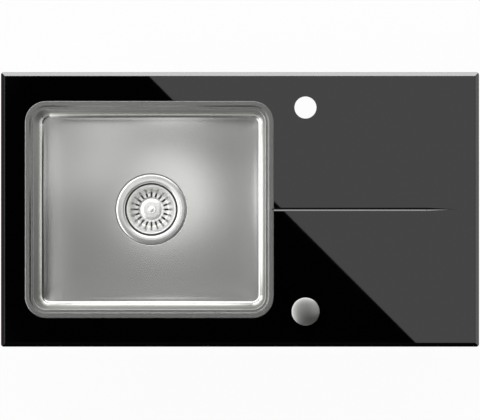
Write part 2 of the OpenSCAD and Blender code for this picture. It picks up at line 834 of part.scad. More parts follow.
// Ring and spokes that carry the hollow screw, pressed into the drum
module screw_bridge() {
    ring_out_r = body_in_r - slip;
    ring_in_r = ring_out_r - bridge_ring_t;
    color([0.9, 0.9, 0.88]) at_bowl() {
        flat_ring(ring_out_r, ring_in_r, screw_foot_z, screw_boss_h);
        flat_ring(screw_boss_r, screw_r + slip, screw_foot_z, screw_boss_h);
        for (i = [0 : spokes - 1])
            rotate([0, 0, (i + 0.5) * 360 / spokes])
                translate([screw_boss_r - 1, -spoke_t / 2, screw_foot_z])
                    cube([ring_in_r - screw_boss_r + 2, spoke_t, screw_boss_h]);
    }
}

module centre_screw() {
    color([0.75, 0.75, 0.76]) at_bowl() difference() {
        union() {
            translate([0, 0, cup_floor_z]) cylinder(h = screw_head_h, r = screw_head_r);
            translate([0, 0, screw_foot_z]) cylinder(h = cup_floor_z - screw_foot_z + 0.5, r = screw_r);
        }
        translate([0, 0, screw_foot_z - over])
            cylinder(h = cup_floor_z - screw_foot_z + screw_head_h + 2 * over, r = pin_r + slip);
        for (a = [0, 90])
            rotate([0, 0, a]) translate([-screw_head_r - over, -1, cup_floor_z + 1.2])
                cube([2 * screw_head_r + 2 * over, 2, screw_head_h]);
    }
}

module lifter_pin() {
    pin_top = boss_top_z - basket_t - socket_h + socket_depth - 2.5 - seat_gap;
    color([0.8, 0.8, 0.8]) at_bowl() {
        translate([0, 0, foot_z]) cylinder(h = foot_t, r = foot_r);
        translate([0, 0, foot_z + foot_t - 0.5]) cylinder(h = pin_top - foot_z - foot_t, r = pin_r);
        translate([0, 0, pin_top - 0.5]) cylinder(h = 0.5, r1 = pin_r, r2 = pin_r - 0.5);
    }
}

// Shaft with its arm, and the rounded tip under the lifting pin
module crank_shaft() {
    arm_w = 7;
    arm_t = 3.6;
    tip_w = arm_w + 1;
    hub_w = arm_w + 3;
    hub_r = 2 * shaft_r;
    end_y = shaft_end_y - play;
    color([0.3, 0.3, 0.32]) at_crank() {
        rotate([90, 0, 0]) {
            translate([0, 0, -end_y]) cylinder(h = end_y + lever_y + lever_t, r = shaft_r);
            translate([0, 0, -hub_w / 2]) cylinder(h = hub_w, r = hub_r);
        }
        rotate([0, -half_swing, 0]) {
            translate([-arm_len, -arm_w / 2, -arm_t / 2]) cube([arm_len, arm_w, arm_t]);
            translate([-arm_len, tip_w / 2, 0]) rotate([90, 0, 0]) cylinder(h = tip_w, r = tip_r);
        }
    }
}

// The lever hangs down and leans back by half of its swing at rest
module crank_lever() {
    color([0.85, 0.85, 0.84]) at_crank() translate([0, -lever_y, 0]) rotate([0, half_swing, 0])
        rotate([90, 0, 0]) difference() {
            union() {
                cylinder(h = lever_t, r = lever_hub_r);
                translate([0, -lever_len, 0]) cylinder(h = lever_t, r = lever_pin_r + 2.6);
                linear_extrude(lever_t) polygon([
                    [-lever_hub_r, 0], [lever_hub_r, 0],
                    [lever_pin_r + 2.6, -lever_len], [-lever_pin_r - 2.6, -lever_len]
                ]);
            }
            translate([0, 0, -over]) cylinder(h = lever_t + 2 * over, r = shaft_r + slip);
            translate([0, -lever_len, -over]) cylinder(h = lever_t + 2 * over, r = lever_pin_r);
        }
}

module lever_screw() {
    color([0.75, 0.75, 0.76]) at_crank() translate([0, -lever_y - lever_t, 0]) rotate([90, 0, 0])
        difference() {
            cylinder(h = 2.4, r = 4.5);
            for (a = [0, 90])
                rotate([0, 0, a]) translate([-3, -0.5, 1.2]) cube([6, 1, over + 1.2]);
        }
}

module shaft_gland() {
    color([0.85, 0.85, 0.84]) at_crank() translate([0, -gland_y, 0]) rotate([90, 0, 0]) difference() {
        cylinder(h = gland_len, r = nose_r + 3.2, $fn = 6);
        translate([0, 0, -over]) cylinder(h = nose_len - bracket_t + over, r = nose_r + slip);
        cylinder(h = gland_len + over, r = shaft_r + slip);
    }
}

// Plate on the shaft's boss, with an ear that holds the cable's bush
module cable_bracket() {
    drop = shaft_z - cable_z;
    color([0.85, 0.85, 0.84]) at_crank() difference() {
        union() {
            translate([0, -shaft_boss_y, 0]) rotate([90, 0, 0]) cylinder(h = bracket_t, r = nose_r + 5);
            translate([0, -gland_y, -nose_r - 5]) cube([ear_x, bracket_t, 2 * nose_r + 4]);
            translate([ear_x - ear_w, -gland_y, -drop - ear_h / 2])
                cube([ear_w, bracket_t, drop + ear_h / 2]);
            translate([ear_x - ear_t, -cable_y - ear_h / 2, -drop - ear_h / 2])
                cube([ear_t, cable_y + ear_h / 2 - shaft_boss_y, ear_h]);
        }
        translate([0, -shaft_boss_y + over, 0]) rotate([90, 0, 0])
            cylinder(h = bracket_t + 2 * over, r = nose_r + slip);
        translate([ear_x - ear_t - over, -cable_y, -drop]) rotate([0, 90, 0])
            cylinder(h = ear_t + 2 * over, r = bush_r + slip);
    }
}

module cable_gland() {
    back = ear_t + gland_back;
    head_h = 4;
    color([0.2, 0.2, 0.2]) at_crank() translate([ear_x, -cable_y, cable_z - shaft_z]) rotate([0, 90, 0])
        difference() {
            union() {
                translate([0, 0, -back]) cylinder(h = back + 2, r = bush_r);
                cylinder(h = head_h, r = bush_r + 2.5, $fn = 6);
                translate([0, 0, head_h])
                    cylinder(h = gland_nose - head_h, r1 = bush_r, r2 = bush_r - 1.5);
            }
            translate([0, 0, -back - over]) cylinder(h = back + gland_nose + 2 * over, r = cable_r);
        }
}

// Push button
module button_cap() {
    dome_r = (cap_r * cap_r + dome_h * dome_h) / (2 * dome_h);
    half_angle = asin((cap_r - 1) / dome_r);
    edge_z = dome_r * cos(half_angle) - dome_r;
    top_z = skirt_top_z + dome_h;
    color([0.55, 0.55, 0.53]) at_button() difference() {
        rotate_extrude() polygon(concat(
            [[0, cap_under_z], [cap_r - cap_t, cap_under_z], [cap_r - cap_t, skirt_z]],
            [[cap_r - 0.3, skirt_z], [cap_r, skirt_z + 0.3], [cap_r, skirt_top_z - 0.6]],
            [for (i = [0 : 8]) let (a = half_angle * (1 - i / 8))
                [dome_r * sin(a), top_z + dome_r * cos(a) - dome_r]]
        ));
        translate([0, 0, cap_under_z - over]) cylinder(h = over + 1.2, r = stem_r + slip / 2);
    }
}

module button_stem() {
    color([0.25, 0.25, 0.26]) at_button() {
        translate([0, 0, stem_bottom_z]) cylinder(h = cap_under_z + 1.2 - stem_bottom_z, r = stem_r);
        translate([0, 0, stem_bottom_z]) cylinder(h = 3, r = stem_r + 2);
        translate([0, 0, cap_under_z - 2]) cylinder(h = 2, r = spring_r + spring_wire);
    }
}

// One unbroken wire, closed turns left out, cut flat at both ends by its length
module button_spring() {
    sides = 6;
    steps = 8 * spring_turns;
    low = shelf_z + spring_wire / 2 + slip;
    high = cap_under_z - 2 - spring_wire / 2 - slip;
    function ring(i) = let (a = 360 * spring_turns * i / steps, z = low + (high - low) * i / steps) [
        for (j = [0 : sides - 1]) let (b = 360 * j / sides, r = spring_r + spring_wire / 2 * cos(b))
            [r * cos(a), r * sin(a), z + spring_wire / 2 * sin(b)]
    ];
    points = [for (i = [0 : steps]) each ring(i)];
    wall = [
        for (i = [0 : steps - 1], j = [0 : sides - 1])
            let (k = (j + 1) % sides, p = i * sides, q = p + sides)
            each [[p + j, q + j, p + k], [p + k, q + j, q + k]]
    ];
    first = [for (j = [1 : sides - 2]) [0, j, j + 1]];
    last = [for (j = [1 : sides - 2]) [steps * sides, steps * sides + j + 1, steps * sides + j]];
    color([0.7, 0.7, 0.72]) at_button() polyhedron(points, concat(wall, first, last));
}

module button_collar() {
    color([0.8, 0.8, 0.8]) at_button() rotate_extrude() polygon([
        [stem_r + slip, shank_bottom_z],
        [shank_r, shank_bottom_z],
        [shank_r, collar_z],
        [collar_flange_r, collar_z],
        [collar_flange_r, collar_z + collar_flange_t - 0.4],
        [collar_flange_r - 0.4, collar_z + collar_flange_t],
        [sleeve_r, collar_z + collar_flange_t],
        [sleeve_r, sleeve_top_z],
        [pocket_r, sleeve_top_z],
        [pocket_r, shelf_z],
        [stem_r + slip, shelf_z]
    ]);
}

module collar_gasket() {
    color([0.1, 0.1, 0.1]) at_button()
        flat_ring(collar_flange_r - 0.5, shank_r + slip, deck_z, collar_gasket_t);
}

module button_washer() {
    color([0.2, 0.2, 0.2]) at_button()
        flat_ring(washer_r, shank_r + seat_gap, gasket_t - washer_t, washer_t);
}

module button_nut() {
    wings = 6;
    color([0.85, 0.85, 0.84]) at_button() translate([0, 0, gasket_t - washer_t - nut_t]) difference() {
        union() {
            cylinder(h = nut_t, r = washer_r - 4);
            for (i = [0 : wings - 1])
                rotate([0, 0, 360 * i / wings]) translate([shank_r + 2, -2, 0])
                    cube([washer_r - shank_r - 2, 4, nut_t]);
        }
        translate([0, 0, -over]) cylinder(h = nut_t + 2 * over, r = shank_r + slip);
    }
}

// Housing on the shank's end
module cable_box() {
    cavity_r = stem_r + 3;
    color([0.85, 0.85, 0.84]) at_button() difference() {
        union() {
            translate([0, 0, box_bottom_z]) cylinder(h = box_depth + box_grip, r = box_r + 1.5);
            translate([0, 0, box_bottom_z - box_nose_h]) cylinder(h = box_nose_h, r = box_nose_r);
        }
        translate([0, 0, shank_bottom_z]) cylinder(h = box_grip + over, r = shank_r + slip);
        translate([0, 0, box_bottom_z + box_wall]) cylinder(h = box_depth, r = cavity_r);
        translate([0, 0, box_bottom_z - box_nose_h - over])
            cylinder(h = box_nose_h + box_wall + 2 * over, r = cable_r);
    }
}

module box_gland() {
    color([0.2, 0.2, 0.2]) at_button() translate([0, 0, box_bottom_z - box_cap_h]) difference() {
        cylinder(h = box_cap_h, r = box_nose_r + 3, $fn = 6);
        translate([0, 0, box_cap_h - box_nose_h])
            cylinder(h = box_nose_h + over, r = box_nose_r + slip);
        translate([0, 0, -over]) cylinder(h = box_cap_h, r = cable_r);
    }
}

glass_deck();
bowl();
deck_bond();
bowl_bond();
carrier_tray();
clip_rails();
worktop_gasket();
clamp_brackets();
clamp_jaws();
clamp_screws();
clamp_nuts();
bowl_pads();
deck_pad();
strainer_cup();
strainer_seal();
body_seal();
waste_body();
waste_outlet();
screw_bridge();
centre_screw();
basket_cup();
basket_seal();
basket_disc();
basket_knob();
basket_socket();
lifter_pin();
crank_shaft();
crank_lever();
lever_screw();
shaft_gland();
cable_bracket();
cable_gland();
button_cap();
button_stem();
button_spring();
button_collar();
collar_gasket();
button_washer();
button_nut();
cable_box();
box_gland();
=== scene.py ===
# Glass kitchen sink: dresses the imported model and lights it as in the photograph.
import json
import math

import bmesh
import bpy
import numpy as np
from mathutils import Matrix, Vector


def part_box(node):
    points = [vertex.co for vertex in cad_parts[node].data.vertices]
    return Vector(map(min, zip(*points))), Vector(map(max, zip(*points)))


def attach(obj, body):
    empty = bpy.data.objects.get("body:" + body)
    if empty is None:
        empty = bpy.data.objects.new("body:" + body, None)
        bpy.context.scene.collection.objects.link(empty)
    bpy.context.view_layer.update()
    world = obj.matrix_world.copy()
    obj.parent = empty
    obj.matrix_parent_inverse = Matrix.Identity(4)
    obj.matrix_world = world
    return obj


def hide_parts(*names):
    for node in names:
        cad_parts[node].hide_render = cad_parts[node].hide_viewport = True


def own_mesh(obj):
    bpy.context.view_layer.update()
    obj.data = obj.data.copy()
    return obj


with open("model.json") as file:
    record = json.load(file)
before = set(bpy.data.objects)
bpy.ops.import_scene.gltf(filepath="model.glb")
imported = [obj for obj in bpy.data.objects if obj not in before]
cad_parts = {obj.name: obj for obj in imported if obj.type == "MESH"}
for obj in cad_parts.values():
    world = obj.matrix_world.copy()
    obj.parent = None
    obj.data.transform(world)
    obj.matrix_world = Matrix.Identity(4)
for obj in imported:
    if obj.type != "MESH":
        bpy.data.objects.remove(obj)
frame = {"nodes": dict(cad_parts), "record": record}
scene = bpy.context.scene
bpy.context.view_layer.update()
mm = 0.001
mergeWithin = 2e-6  # metres


def centreOf(node):
    low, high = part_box(node)
    return (low + high) / 2


bowlX = centreOf("bowl").x
wasteCentre = Vector((bowlX, 0, 0))
buttonCentre = Vector((*centreOf("button_cap").xy, 0))
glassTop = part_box("glass_deck")[1].z

# Node trees


# Links sockets to a node's inputs and writes plain values into them.
def feed(tree, node, inputs):
    for key, value in inputs.items():
        if isinstance(value, bpy.types.NodeSocket):
            tree.links.new(value, node.inputs[key])
        else:
            node.inputs[key].default_value = value


def addNode(tree, kind, inputs=None, **settings):
    node = tree.nodes.new(kind)
    for key, value in settings.items():
        setattr(node, key, value)
    feed(tree, node, inputs or {})
    return node


def maths(tree, operation, a, b=0.0):
    return addNode(tree, "ShaderNodeMath", {0: a, 1: b}, operation=operation).outputs[0]


def plus(tree, a, b):
    return maths(tree, "ADD", a, b)


def times(tree, a, b):
    return maths(tree, "MULTIPLY", a, b)


def vectorMaths(tree, operation, a, b=(0, 0, 0), output=0):
    return addNode(tree, "ShaderNodeVectorMath", {0: a, 1: b}, operation=operation).outputs[output]


def split(tree, vector):
    return addNode(tree, "ShaderNodeSeparateXYZ", {0: vector}).outputs


def combine(tree, x, y, z=0.0):
    return addNode(tree, "ShaderNodeCombineXYZ", {0: x, 1: y, 2: z}).outputs[0]


# A share of a and the rest of b.
def mixed(tree, a, b, share):
    return plus(tree, times(tree, a, share), times(tree, b, 1 - share))


# A value that wanders round its middle.
def wander(tree, pattern, middle, spread):
    return plus(tree, times(tree, pattern, spread), middle - spread / 2)


def remap(tree, value, low, high, toLow, toHigh, smooth=False):
    given = {"Value": value, "From Min": low, "From Max": high, "To Min": toLow, "To Max": toHigh}
    kind = "SMOOTHSTEP" if smooth else "LINEAR"
    return addNode(tree, "ShaderNodeMapRange", given, interpolation_type=kind).outputs["Result"]


# A soft step from 0 to 1 between two values.
def softStep(tree, value, low, high):
    return remap(tree, value, low, high, 0.0, 1.0, True)


# Inputs 0, 6 and 7 of the mix node are its factor and two colours, and output 2 is the colour.
def blendColours(tree, factor, a, b):
    return addNode(tree, "ShaderNodeMix", {0: factor, 6: a, 7: b}, data_type="RGBA").outputs[2]


def noise(tree, vector, scale, detail=3, rough=0.5, twist=0):
    given = {"Vector": vector, "Scale": scale, "Detail": detail, "Roughness": rough, "Distortion": twist}
    return addNode(tree, "ShaderNodeTexNoise", given).outputs["Fac"]


def bumped(tree, height, strength, distance):
    given = {"Height": height, "Strength": strength, "Distance": distance}
    return addNode(tree, "ShaderNodeBump", given).outputs["Normal"]


def grey(value, tint=(1, 1, 1)):
    return (value * tint[0], value * tint[1], value * tint[2], 1)


# A new material, with the place round a centre that its patterns read.
def startMaterial(name, centre=(0, 0, 0)):
    material = bpy.data.materials.new(name)
    material.use_nodes = True
    tree = material.node_tree
    place = addNode(tree, "ShaderNodeTexCoord").outputs["Object"]
    moved = {"Vector": place, "Location": [-c for c in centre]}
    place = addNode(tree, "ShaderNodeMapping", moved).outputs["Vector"]
    return material, tree, tree.nodes["Principled BSDF"], place


# What the metal finishes share. Lengths are in metres, and patterns are so many to the metre.
metal = {
    "spread": 0.03, "line": 0.0002, "depth": 0.02, "contrast": 0.03, "bump": 0.00002, "alongLines": 25.0,
    "turnScale": 0.01, "cloud": 9.0, "cloudShare": 0.6, "speckle": 700.0, "speckleDull": 0.02,
}
# Painted shade darkens the rim, the upper walls and the walls' glancing reflection; the walls are also
# rougher. Levels are counted down from the glass.
bowlSteel = {
    "tone": 0.64, "tint": (1, 1, 0.975), "roughness": 0.24, "spread": 0.008, "line": 0.00011, "depth": 0.006,
    "contrast": 0.009, "rimShadeTone": 0.47, "rimFrom": 0.17, "rimFull": 0.12,
    "wallDull": 0.3, "wallGlanceShade": 0.1, "wallFrom": 0.18, "wallFull": 0.16, "wallEnd": 0.004,
}
# The strainer is painted darker under the basket's rim, as shade, and turns rougher there.
wasteSteel = {
    "tone": 0.82, "tint": (1, 1, 0.985), "roughness": 0.27, "paintedShadeTone": 0.03, "deepDull": 0.3,
    "deepBelow": 0.008, "deepFrom": 0.001, "deepFull": 0.003,
    "deepRadius": 0.026, "shallowRadius": 0.029, "shallowShare": 0.2,
}
basketSteel = {"tone": 0.9, "tint": (1, 1, 0.985), "roughness": 0.38}
buttonSatin = {
    "tone": 0.43, "tint": (1, 0.995, 0.97), "roughness": 0.3, "spread": 0.05, "line": 0.00015, "depth": 0.05,
}
collarChrome = {"tone": 0.75, "tint": (0.99, 1, 1), "roughness": 0.1, "line": 0.0003, "depth": 0.01}
carrierSteel = {
    "tone": 0.56, "tint": (0.98, 1, 1.02), "roughness": 0.38, "spread": 0.08, "line": 0.0003, "depth": 0.04,
}
springWire = {"tone": 0.6, "tint": (1, 1, 1.02), "roughness": 0.28, "spread": 0.05, "depth": 0.03}


# Metal whose fine lines are brushed along the UV map, turned round a centre, or rolled along X.
def metalFinish(name, ownLook, lines, centre=(0, 0, 0), deepBelow=None, rimAbove=None):
    look = {**metal, **ownLook}
    material, tree, shader, place = startMaterial(name, centre)
    x, y, height = split(tree, place)
    if lines == "brushed":
        along, across, third = split(tree, addNode(tree, "ShaderNodeUVMap").outputs["UV"])
    elif lines == "turned":
        across = vectorMaths(tree, "LENGTH", combine(tree, x, y), output=1)
        along = times(tree, maths(tree, "ARCTAN2", y, x), look["turnScale"])
        third = height
    else:
        along, across, third = x, y, height
    scales = look["alongLines"], 1 / look["line"], 1 / look["line"]
    stretched = [times(tree, part, scale) for part, scale in zip((along, across, third), scales)]
    grain = noise(tree, combine(tree, *stretched), 1.0, 4, 0.6)
    worn = mixed(tree, noise(tree, place, look["cloud"]), grain, look["cloudShare"])
    shares = 1 - look["contrast"], 1 + look["contrast"]
    colour = blendColours(tree, worn, *[grey(look["tone"] * share, look["tint"]) for share in shares])
    least, most = look["roughness"] - look["spread"], look["roughness"] + look["spread"]
    speckle = times(tree, noise(tree, place, look["speckle"], 2), look["speckleDull"])
    rough = plus(tree, remap(tree, worn, 0.2, 0.8, least, most), speckle)
    if rimAbove is not None:
        # The rim and upper walls are painted darker, as shade. The walls turn rougher, and their glancing
        # reflection is painted darker, as shade.
        rimShadeMask = softStep(tree, height, rimAbove - look["rimFrom"], rimAbove - look["rimFull"])
        colour = blendColours(tree, rimShadeMask, colour, grey(look["rimShadeTone"], look["tint"]))
        onWall = softStep(tree, height, rimAbove - look["wallFrom"], rimAbove - look["wallFull"])
        underRim = remap(tree, height, rimAbove - look["wallEnd"], rimAbove, 1.0, 0.0, True)
        onWall = times(tree, onWall, underRim)
        rough = plus(tree, rough, times(tree, onWall, look["wallDull"]))
        wallReflectionShade = blendColours(tree, onWall, grey(1.0), grey(look["wallGlanceShade"]))
        feed(tree, shader, {"Specular Tint": wallReflectionShade})
    if deepBelow is not None:
        # Under the basket's rim the strainer is painted darker, as shade, most of all inside the inner
        # radius, and it turns rougher there.
        deep = softStep(tree, height, deepBelow + look["deepFrom"], deepBelow - look["deepFull"])
        radii = look["shallowRadius"], look["deepRadius"]
        inner = remap(tree, across, *radii, look["shallowShare"], 1.0, True)
        shadeAndDull = times(tree, deep, inner)
        colour = blendColours(tree, shadeAndDull, colour, grey(look["paintedShadeTone"]))
        rough = plus(tree, rough, times(tree, shadeAndDull, look["deepDull"]))
    normal = bumped(tree, grain, look["depth"], look["bump"])
    feed(tree, shader, {"Base Color": colour, "Roughness": rough, "Normal": normal, "Metallic": 1.0})
    return material


# Black glass: polished, with ground edges that stay a little softer, and a trace of handling.
def glassFinish():
    look = {
        "tone": 0.0006, "edgeTone": (0.0016, 0.0022, 0.002, 1), "polish": 0.006, "smear": 0.006,
        "ground": 0.09, "groundSpread": 0.06, "flatNormal": 0.995, "edgeNormal": 0.9,
        "smears": 14.0, "flecks": 1800.0, "bump": 0.04,
    }
    material, tree, shader, place = startMaterial("blackGlass")
    normal = addNode(tree, "ShaderNodeNewGeometry").outputs["True Normal"]
    upright = maths(tree, "ABSOLUTE", split(tree, normal)[2])
    edge = remap(tree, upright, look["flatNormal"], look["edgeNormal"], 0.0, 1.0)
    fleck = noise(tree, place, look["flecks"], 2)
    smear = noise(tree, place, look["smears"], 5, 0.6, 0.4)
    polished = wander(tree, smear, look["polish"], look["smear"])
    ground = times(tree, edge, wander(tree, fleck, look["ground"], look["groundSpread"]))
    feed(tree, shader, {
        "Base Color": blendColours(tree, edge, grey(look["tone"]), look["edgeTone"]),
        "Roughness": maths(tree, "MAXIMUM", polished, ground),
        "Normal": bumped(tree, times(tree, fleck, edge), look["bump"], 0.00002),
        "IOR": 1.5,
    })
    return material


# Zinc plate: pale, faintly blue, with the soft spangle of the bath.
def zincFinish():
    look = {"dark": 0.5332, "light": 0.6696, "spangle": 900.0, "share": 0.3, "cloud": 60.0, "grit": 2500.0}
    material, tree, shader, place = startMaterial("zincPlate")
    cells = addNode(tree, "ShaderNodeTexVoronoi", {"Vector": place, "Scale": look["spangle"]})
    cell = split(tree, cells.outputs["Color"])[0]
    mottle = mixed(tree, cell, noise(tree, place, look["cloud"], 4, 0.6), look["share"])
    dark, light = grey(look["dark"], (0.97, 1, 1.03)), grey(look["light"], (0.98, 1, 1.01))
    feed(tree, shader, {
        "Base Color": blendColours(tree, mottle, dark, light),
        "Roughness": remap(tree, mottle, 0.2, 0.8, 0.24, 0.4),
        "Normal": bumped(tree, noise(tree, place, look["grit"], 3, 0.6), 0.06, 0.00003),
        "Metallic": 1.0,
    })
    return material


plastic = {"skin": 3200.0, "flow": 22.0, "twist": 1.2, "bump": 0.14, "dark": 0.94, "light": 1.04}
rubber = {"bloom": 40.0, "dark": 0.75, "light": 1.35, "spread": 0.07}


# Moulded plastic with a spark-eroded skin and faint flow marks.
def plasticFinish(name, tone, tint, roughness):
    material, tree, shader, place = startMaterial(name)
    skin = noise(tree, place, plastic["skin"], 3, 0.65)
    flow = noise(tree, place, plastic["flow"], 3, 0.5, plastic["twist"])
    both = mixed(tree, skin, flow, 0.5)
    tones = [grey(tone * plastic[share], tint) for share in ("dark", "light")]
    feed(tree, shader, {
        "Base Color": blendColours(tree, flow, *tones),
        "Roughness": remap(tree, both, 0.25, 0.75, roughness - 0.06, roughness + 0.08),
        "Normal": bumped(tree, skin, plastic["bump"], 0.00004),
        "IOR": 1.49,
    })
    return material


# Rubber and silicone: matt, slightly mottled, with a bloom of dust.
def rubberFinish(name, tone, roughness, grain, depth):
    material, tree, shader, place = startMaterial(name)
    bloom = noise(tree, place, rubber["bloom"], 4, 0.6)
    tones = [grey(tone * rubber[share]) for share in ("dark", "light")]
    least, most = roughness - rubber["spread"], roughness + rubber["spread"]
    feed(tree, shader, {
        "Base Color": blendColours(tree, bloom, *tones),
        "Roughness": remap(tree, bloom, 0.3, 0.7, least, most),
        "Normal": bumped(tree, noise(tree, place, grain, 4, 0.6), depth, 0.0001),
        "IOR": 1.5,
    })
    return material


# Closed-cell foam: small round cells open at the cut faces.
def foamFinish():
    look = {"tone": 0.075, "cells": 1500.0, "pitRough": 0.75, "skinRough": 0.95, "bump": 0.5}
    material, tree, shader, place = startMaterial("foamStrip")
    cells = addNode(tree, "ShaderNodeTexVoronoi", {"Vector": place, "Scale": look["cells"]})
    # The cells' hollows sit low in the bump and are painted darker, as shade.
    pit = softStep(tree, cells.outputs["Distance"], 0.1, 0.55)
    feed(tree, shader, {
        "Base Color": blendColours(tree, pit, grey(look["tone"] * 0.45), grey(look["tone"] * 1.3)),
        "Roughness": remap(tree, pit, 0.0, 1.0, look["skinRough"], look["pitRough"]),
        "Normal": bumped(tree, pit, look["bump"], 0.0002),
    })
    return material


# Bitumen pad: rolled with a small diamond emboss and mineral specks.
def padFinish():
    look = {"tone": 0.035, "speckTone": 0.112, "pitch": 0.004, "grit": 1400.0, "gritRise": 0.35, "bump": 0.45}
    material, tree, shader, place = startMaterial("bitumenPad")
    x, y, z = split(tree, place)
    level = plus(tree, y, z)
    waves = []
    for way in ("ADD", "SUBTRACT"):
        turn = times(tree, maths(tree, way, x, level), 2 * math.pi / look["pitch"])
        waves.append(maths(tree, "SINE", turn))
    emboss = softStep(tree, times(tree, *waves), -0.4, 0.6)
    grit = noise(tree, place, look["grit"], 4, 0.7)
    speck = softStep(tree, grit, 0.62, 0.72)
    height = plus(tree, emboss, times(tree, grit, look["gritRise"]))
    feed(tree, shader, {
        "Base Color": blendColours(tree, speck, grey(look["tone"]), grey(look["speckTone"])),
        "Roughness": remap(tree, grit, 0.3, 0.7, 0.62, 0.9),
        "Normal": bumped(tree, height, look["bump"], 0.0003),
    })
    return material


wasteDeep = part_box("basket_cup")[1].z - wasteSteel["deepBelow"]
bowlBrushed = metalFinish("bowlSteelBrushed", bowlSteel, "brushed", rimAbove=glassTop)
wasteTurned = metalFinish("wasteSteelTurned", wasteSteel, "turned", wasteCentre, wasteDeep)
basketTurned = metalFinish("basketSteelTurned", basketSteel, "turned", wasteCentre)
buttonTurned = metalFinish("buttonSatinTurned", buttonSatin, "turned", buttonCentre)
collarTurned = metalFinish("collarChromeTurned", collarChrome, "turned", buttonCentre)
carrierRolled = metalFinish("carrierSteelRolled", carrierSteel, "rolled")
springDrawn = metalFinish("springWireTurned", springWire, "turned", buttonCentre)
blackGlass = glassFinish()
zincPlate = zincFinish()
wasteWhite = plasticFinish("polypropyleneWhite", 0.78, (1, 1, 0.975), 0.42)
partBlack = plasticFinish("nylonBlack", 0.028, (1, 1, 1.05), 0.4)
siliconeBlack = rubberFinish("siliconeBead", 0.02, 0.42, 500.0, 0.08)
sealRubber = rubberFinish("sealRubber", 0.014, 0.5, 2600.0, 0.1)
foamStrip = foamFinish()
bitumenPad = padFinish()
print("finishes made:", len(bpy.data.materials))

# Mesh tools


def meshObject(name, points, faces, uvs=None, edges=()):
    mesh = bpy.data.meshes.new(name)
    mesh.from_pydata([tuple(p) for p in points], edges, faces)
    if uvs is not None:
        layer = mesh.uv_layers.new(name="grain")
        layer.data.foreach_set("uv", np.array(uvs, float).reshape(-1))
    mesh.validate()
    thing = bpy.data.objects.new(name, mesh)
    scene.collection.objects.link(thing)
    return thing


# Replaces an object's mesh by what its modifiers make of it.
def applied(thing):
    graph = bpy.context.evaluated_depsgraph_get()
    plain = bpy.data.meshes.new_from_object(thing.evaluated_get(graph))
    thing.modifiers.clear()
    thing.data = plain
    return thing


# Soft shading up to an angle, with faces of many sides or above a size kept flat.
def settle(thing, angle, flatArea=1.0):
    applied(thing)
    thing.data.shade_smooth()
    thing.data.set_sharp_from_angle(angle=math.radians(angle))
    for face in thing.data.polygons:
        if len(face.vertices) > 4 or face.area > flatArea:
            face.use_smooth = False
    balance = thing.modifiers.new("flatFaces", "WEIGHTED_NORMAL")
    balance.keep_sharp = True
    balance.weight = 70
    return applied(thing)


def paint(thing, material):
    thing.data.materials.clear()
    thing.data.materials.append(material)
    for face in thing.data.polygons:
        face.material_index = 0


def finishPiece(thing, material, node):
    paint(thing, material)
    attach(thing, bodyOf[node])
    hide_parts(node)
    return thing


# Gives a sheet its thickness in millimetres, behind its face.
def thicken(thing, thickness):
    wall = thing.modifiers.new("sheet", "SOLIDIFY")
    wall.thickness = thickness * mm
    wall.offset = -1
    wall.use_even_offset = True


bodyOf = {node: body for body, nodes in frame["record"]["behaviour"]["bodies"].items() for node in nodes}


# Points of a line whose corners are rounded. Each corner is (x, y, radius).
def roundedLine(corners, steps=6):
    points = []
    for i, (x, y, r) in enumerate(corners):
        here = Vector((x, y))
        if r <= 0 or i in (0, len(corners) - 1):
            points.append(here)
            continue
        before = (Vector(corners[i - 1][:2]) - here).normalized()
        after = (Vector(corners[i + 1][:2]) - here).normalized()
        turn = math.pi - before.angle(after)
        reach = r * math.tan(turn / 2)
        centre = here + (before + after).normalized() * (r / math.cos(turn / 2))
        start, end = here + before * reach - centre, here + after * reach - centre
        for k in range(steps + 1):
            t = k / steps
            w = math.sin((1 - t) * turn) / math.sin(turn), math.sin(t * turn) / math.sin(turn)
            points.append(centre + start * w[0] + end * w[1])
    return points


# Turns a closed outline of (radius, height) in millimetres round a vertical axis.
def turnedPiece(name, outline, centre, steps=128):
    count = len(outline)
    points, faces = [], []
    for k in range(steps):
        a = 2 * math.pi * k / steps
        for r, z in outline:
            points.append((centre.x + r * mm * math.cos(a), centre.y + r * mm * math.sin(a), z * mm))
    for k in range(steps):
        n = (k + 1) % steps
        for i in range(count):
            j = (i + 1) % count
            if outline[i][0] < 1e-6 and outline[j][0] < 1e-6:
                continue
            faces.append((k * count + i, n * count + i, n * count + j, k * count + j))
    thing = meshObject(name, points, faces)
    weld(thing.data)
    return thing


# A turned piece, shaded smooth up to an angle, with its finish.
def turnedFitting(node, name, outline, centre, material, angle=40, steps=128):
    return finishPiece(settle(turnedPiece(name, outline, centre, steps), angle), material, node)


def weld(mesh, distance=1e-7, outward=True):
    shape = bmesh.new()
    shape.from_mesh(mesh)
    bmesh.ops.remove_doubles(shape, verts=shape.verts, dist=distance)
    if outward:
        bmesh.ops.recalc_face_normals(shape, faces=shape.faces)
    shape.to_mesh(mesh)
    shape.free()


# A copy of a CAD node: merged, freed of needless edges, with eased corners.
def eased(node, ease, angle=28, segments=2, change=None, flatArea=1.0):
    source = frame["nodes"][node].data
    points = np.zeros(len(source.vertices) * 3)
    source.vertices.foreach_get("co", points)
    faces = [tuple(face.vertices) for face in source.polygons]
    thing = meshObject(node + "Finished", points.reshape(-1, 3), faces)
    shape = bmesh.new()
    shape.from_mesh(thing.data)
    bmesh.ops.remove_doubles(shape, verts=shape.verts, dist=mergeWithin)
    if change:
        change(shape)
    bmesh.ops.dissolve_limit(shape, angle_limit=math.radians(0.4), verts=shape.verts, edges=shape.edges)
    shape.to_mesh(thing.data)
    shape.free()
    corner = thing.modifiers.new("easedCorners", "BEVEL")
    corner.width = ease * mm
    corner.segments = segments
    corner.limit_method = "ANGLE"
    corner.angle_limit = math.radians(angle)
    corner.use_clamp_overlap = True
    return settle(thing, 50, flatArea)


# Repeating tools, in geometry nodes


def geoNode(tree, kind, inputs=None, **settings):
    return addNode(tree, "GeometryNode" + kind, inputs, **settings).outputs[0]


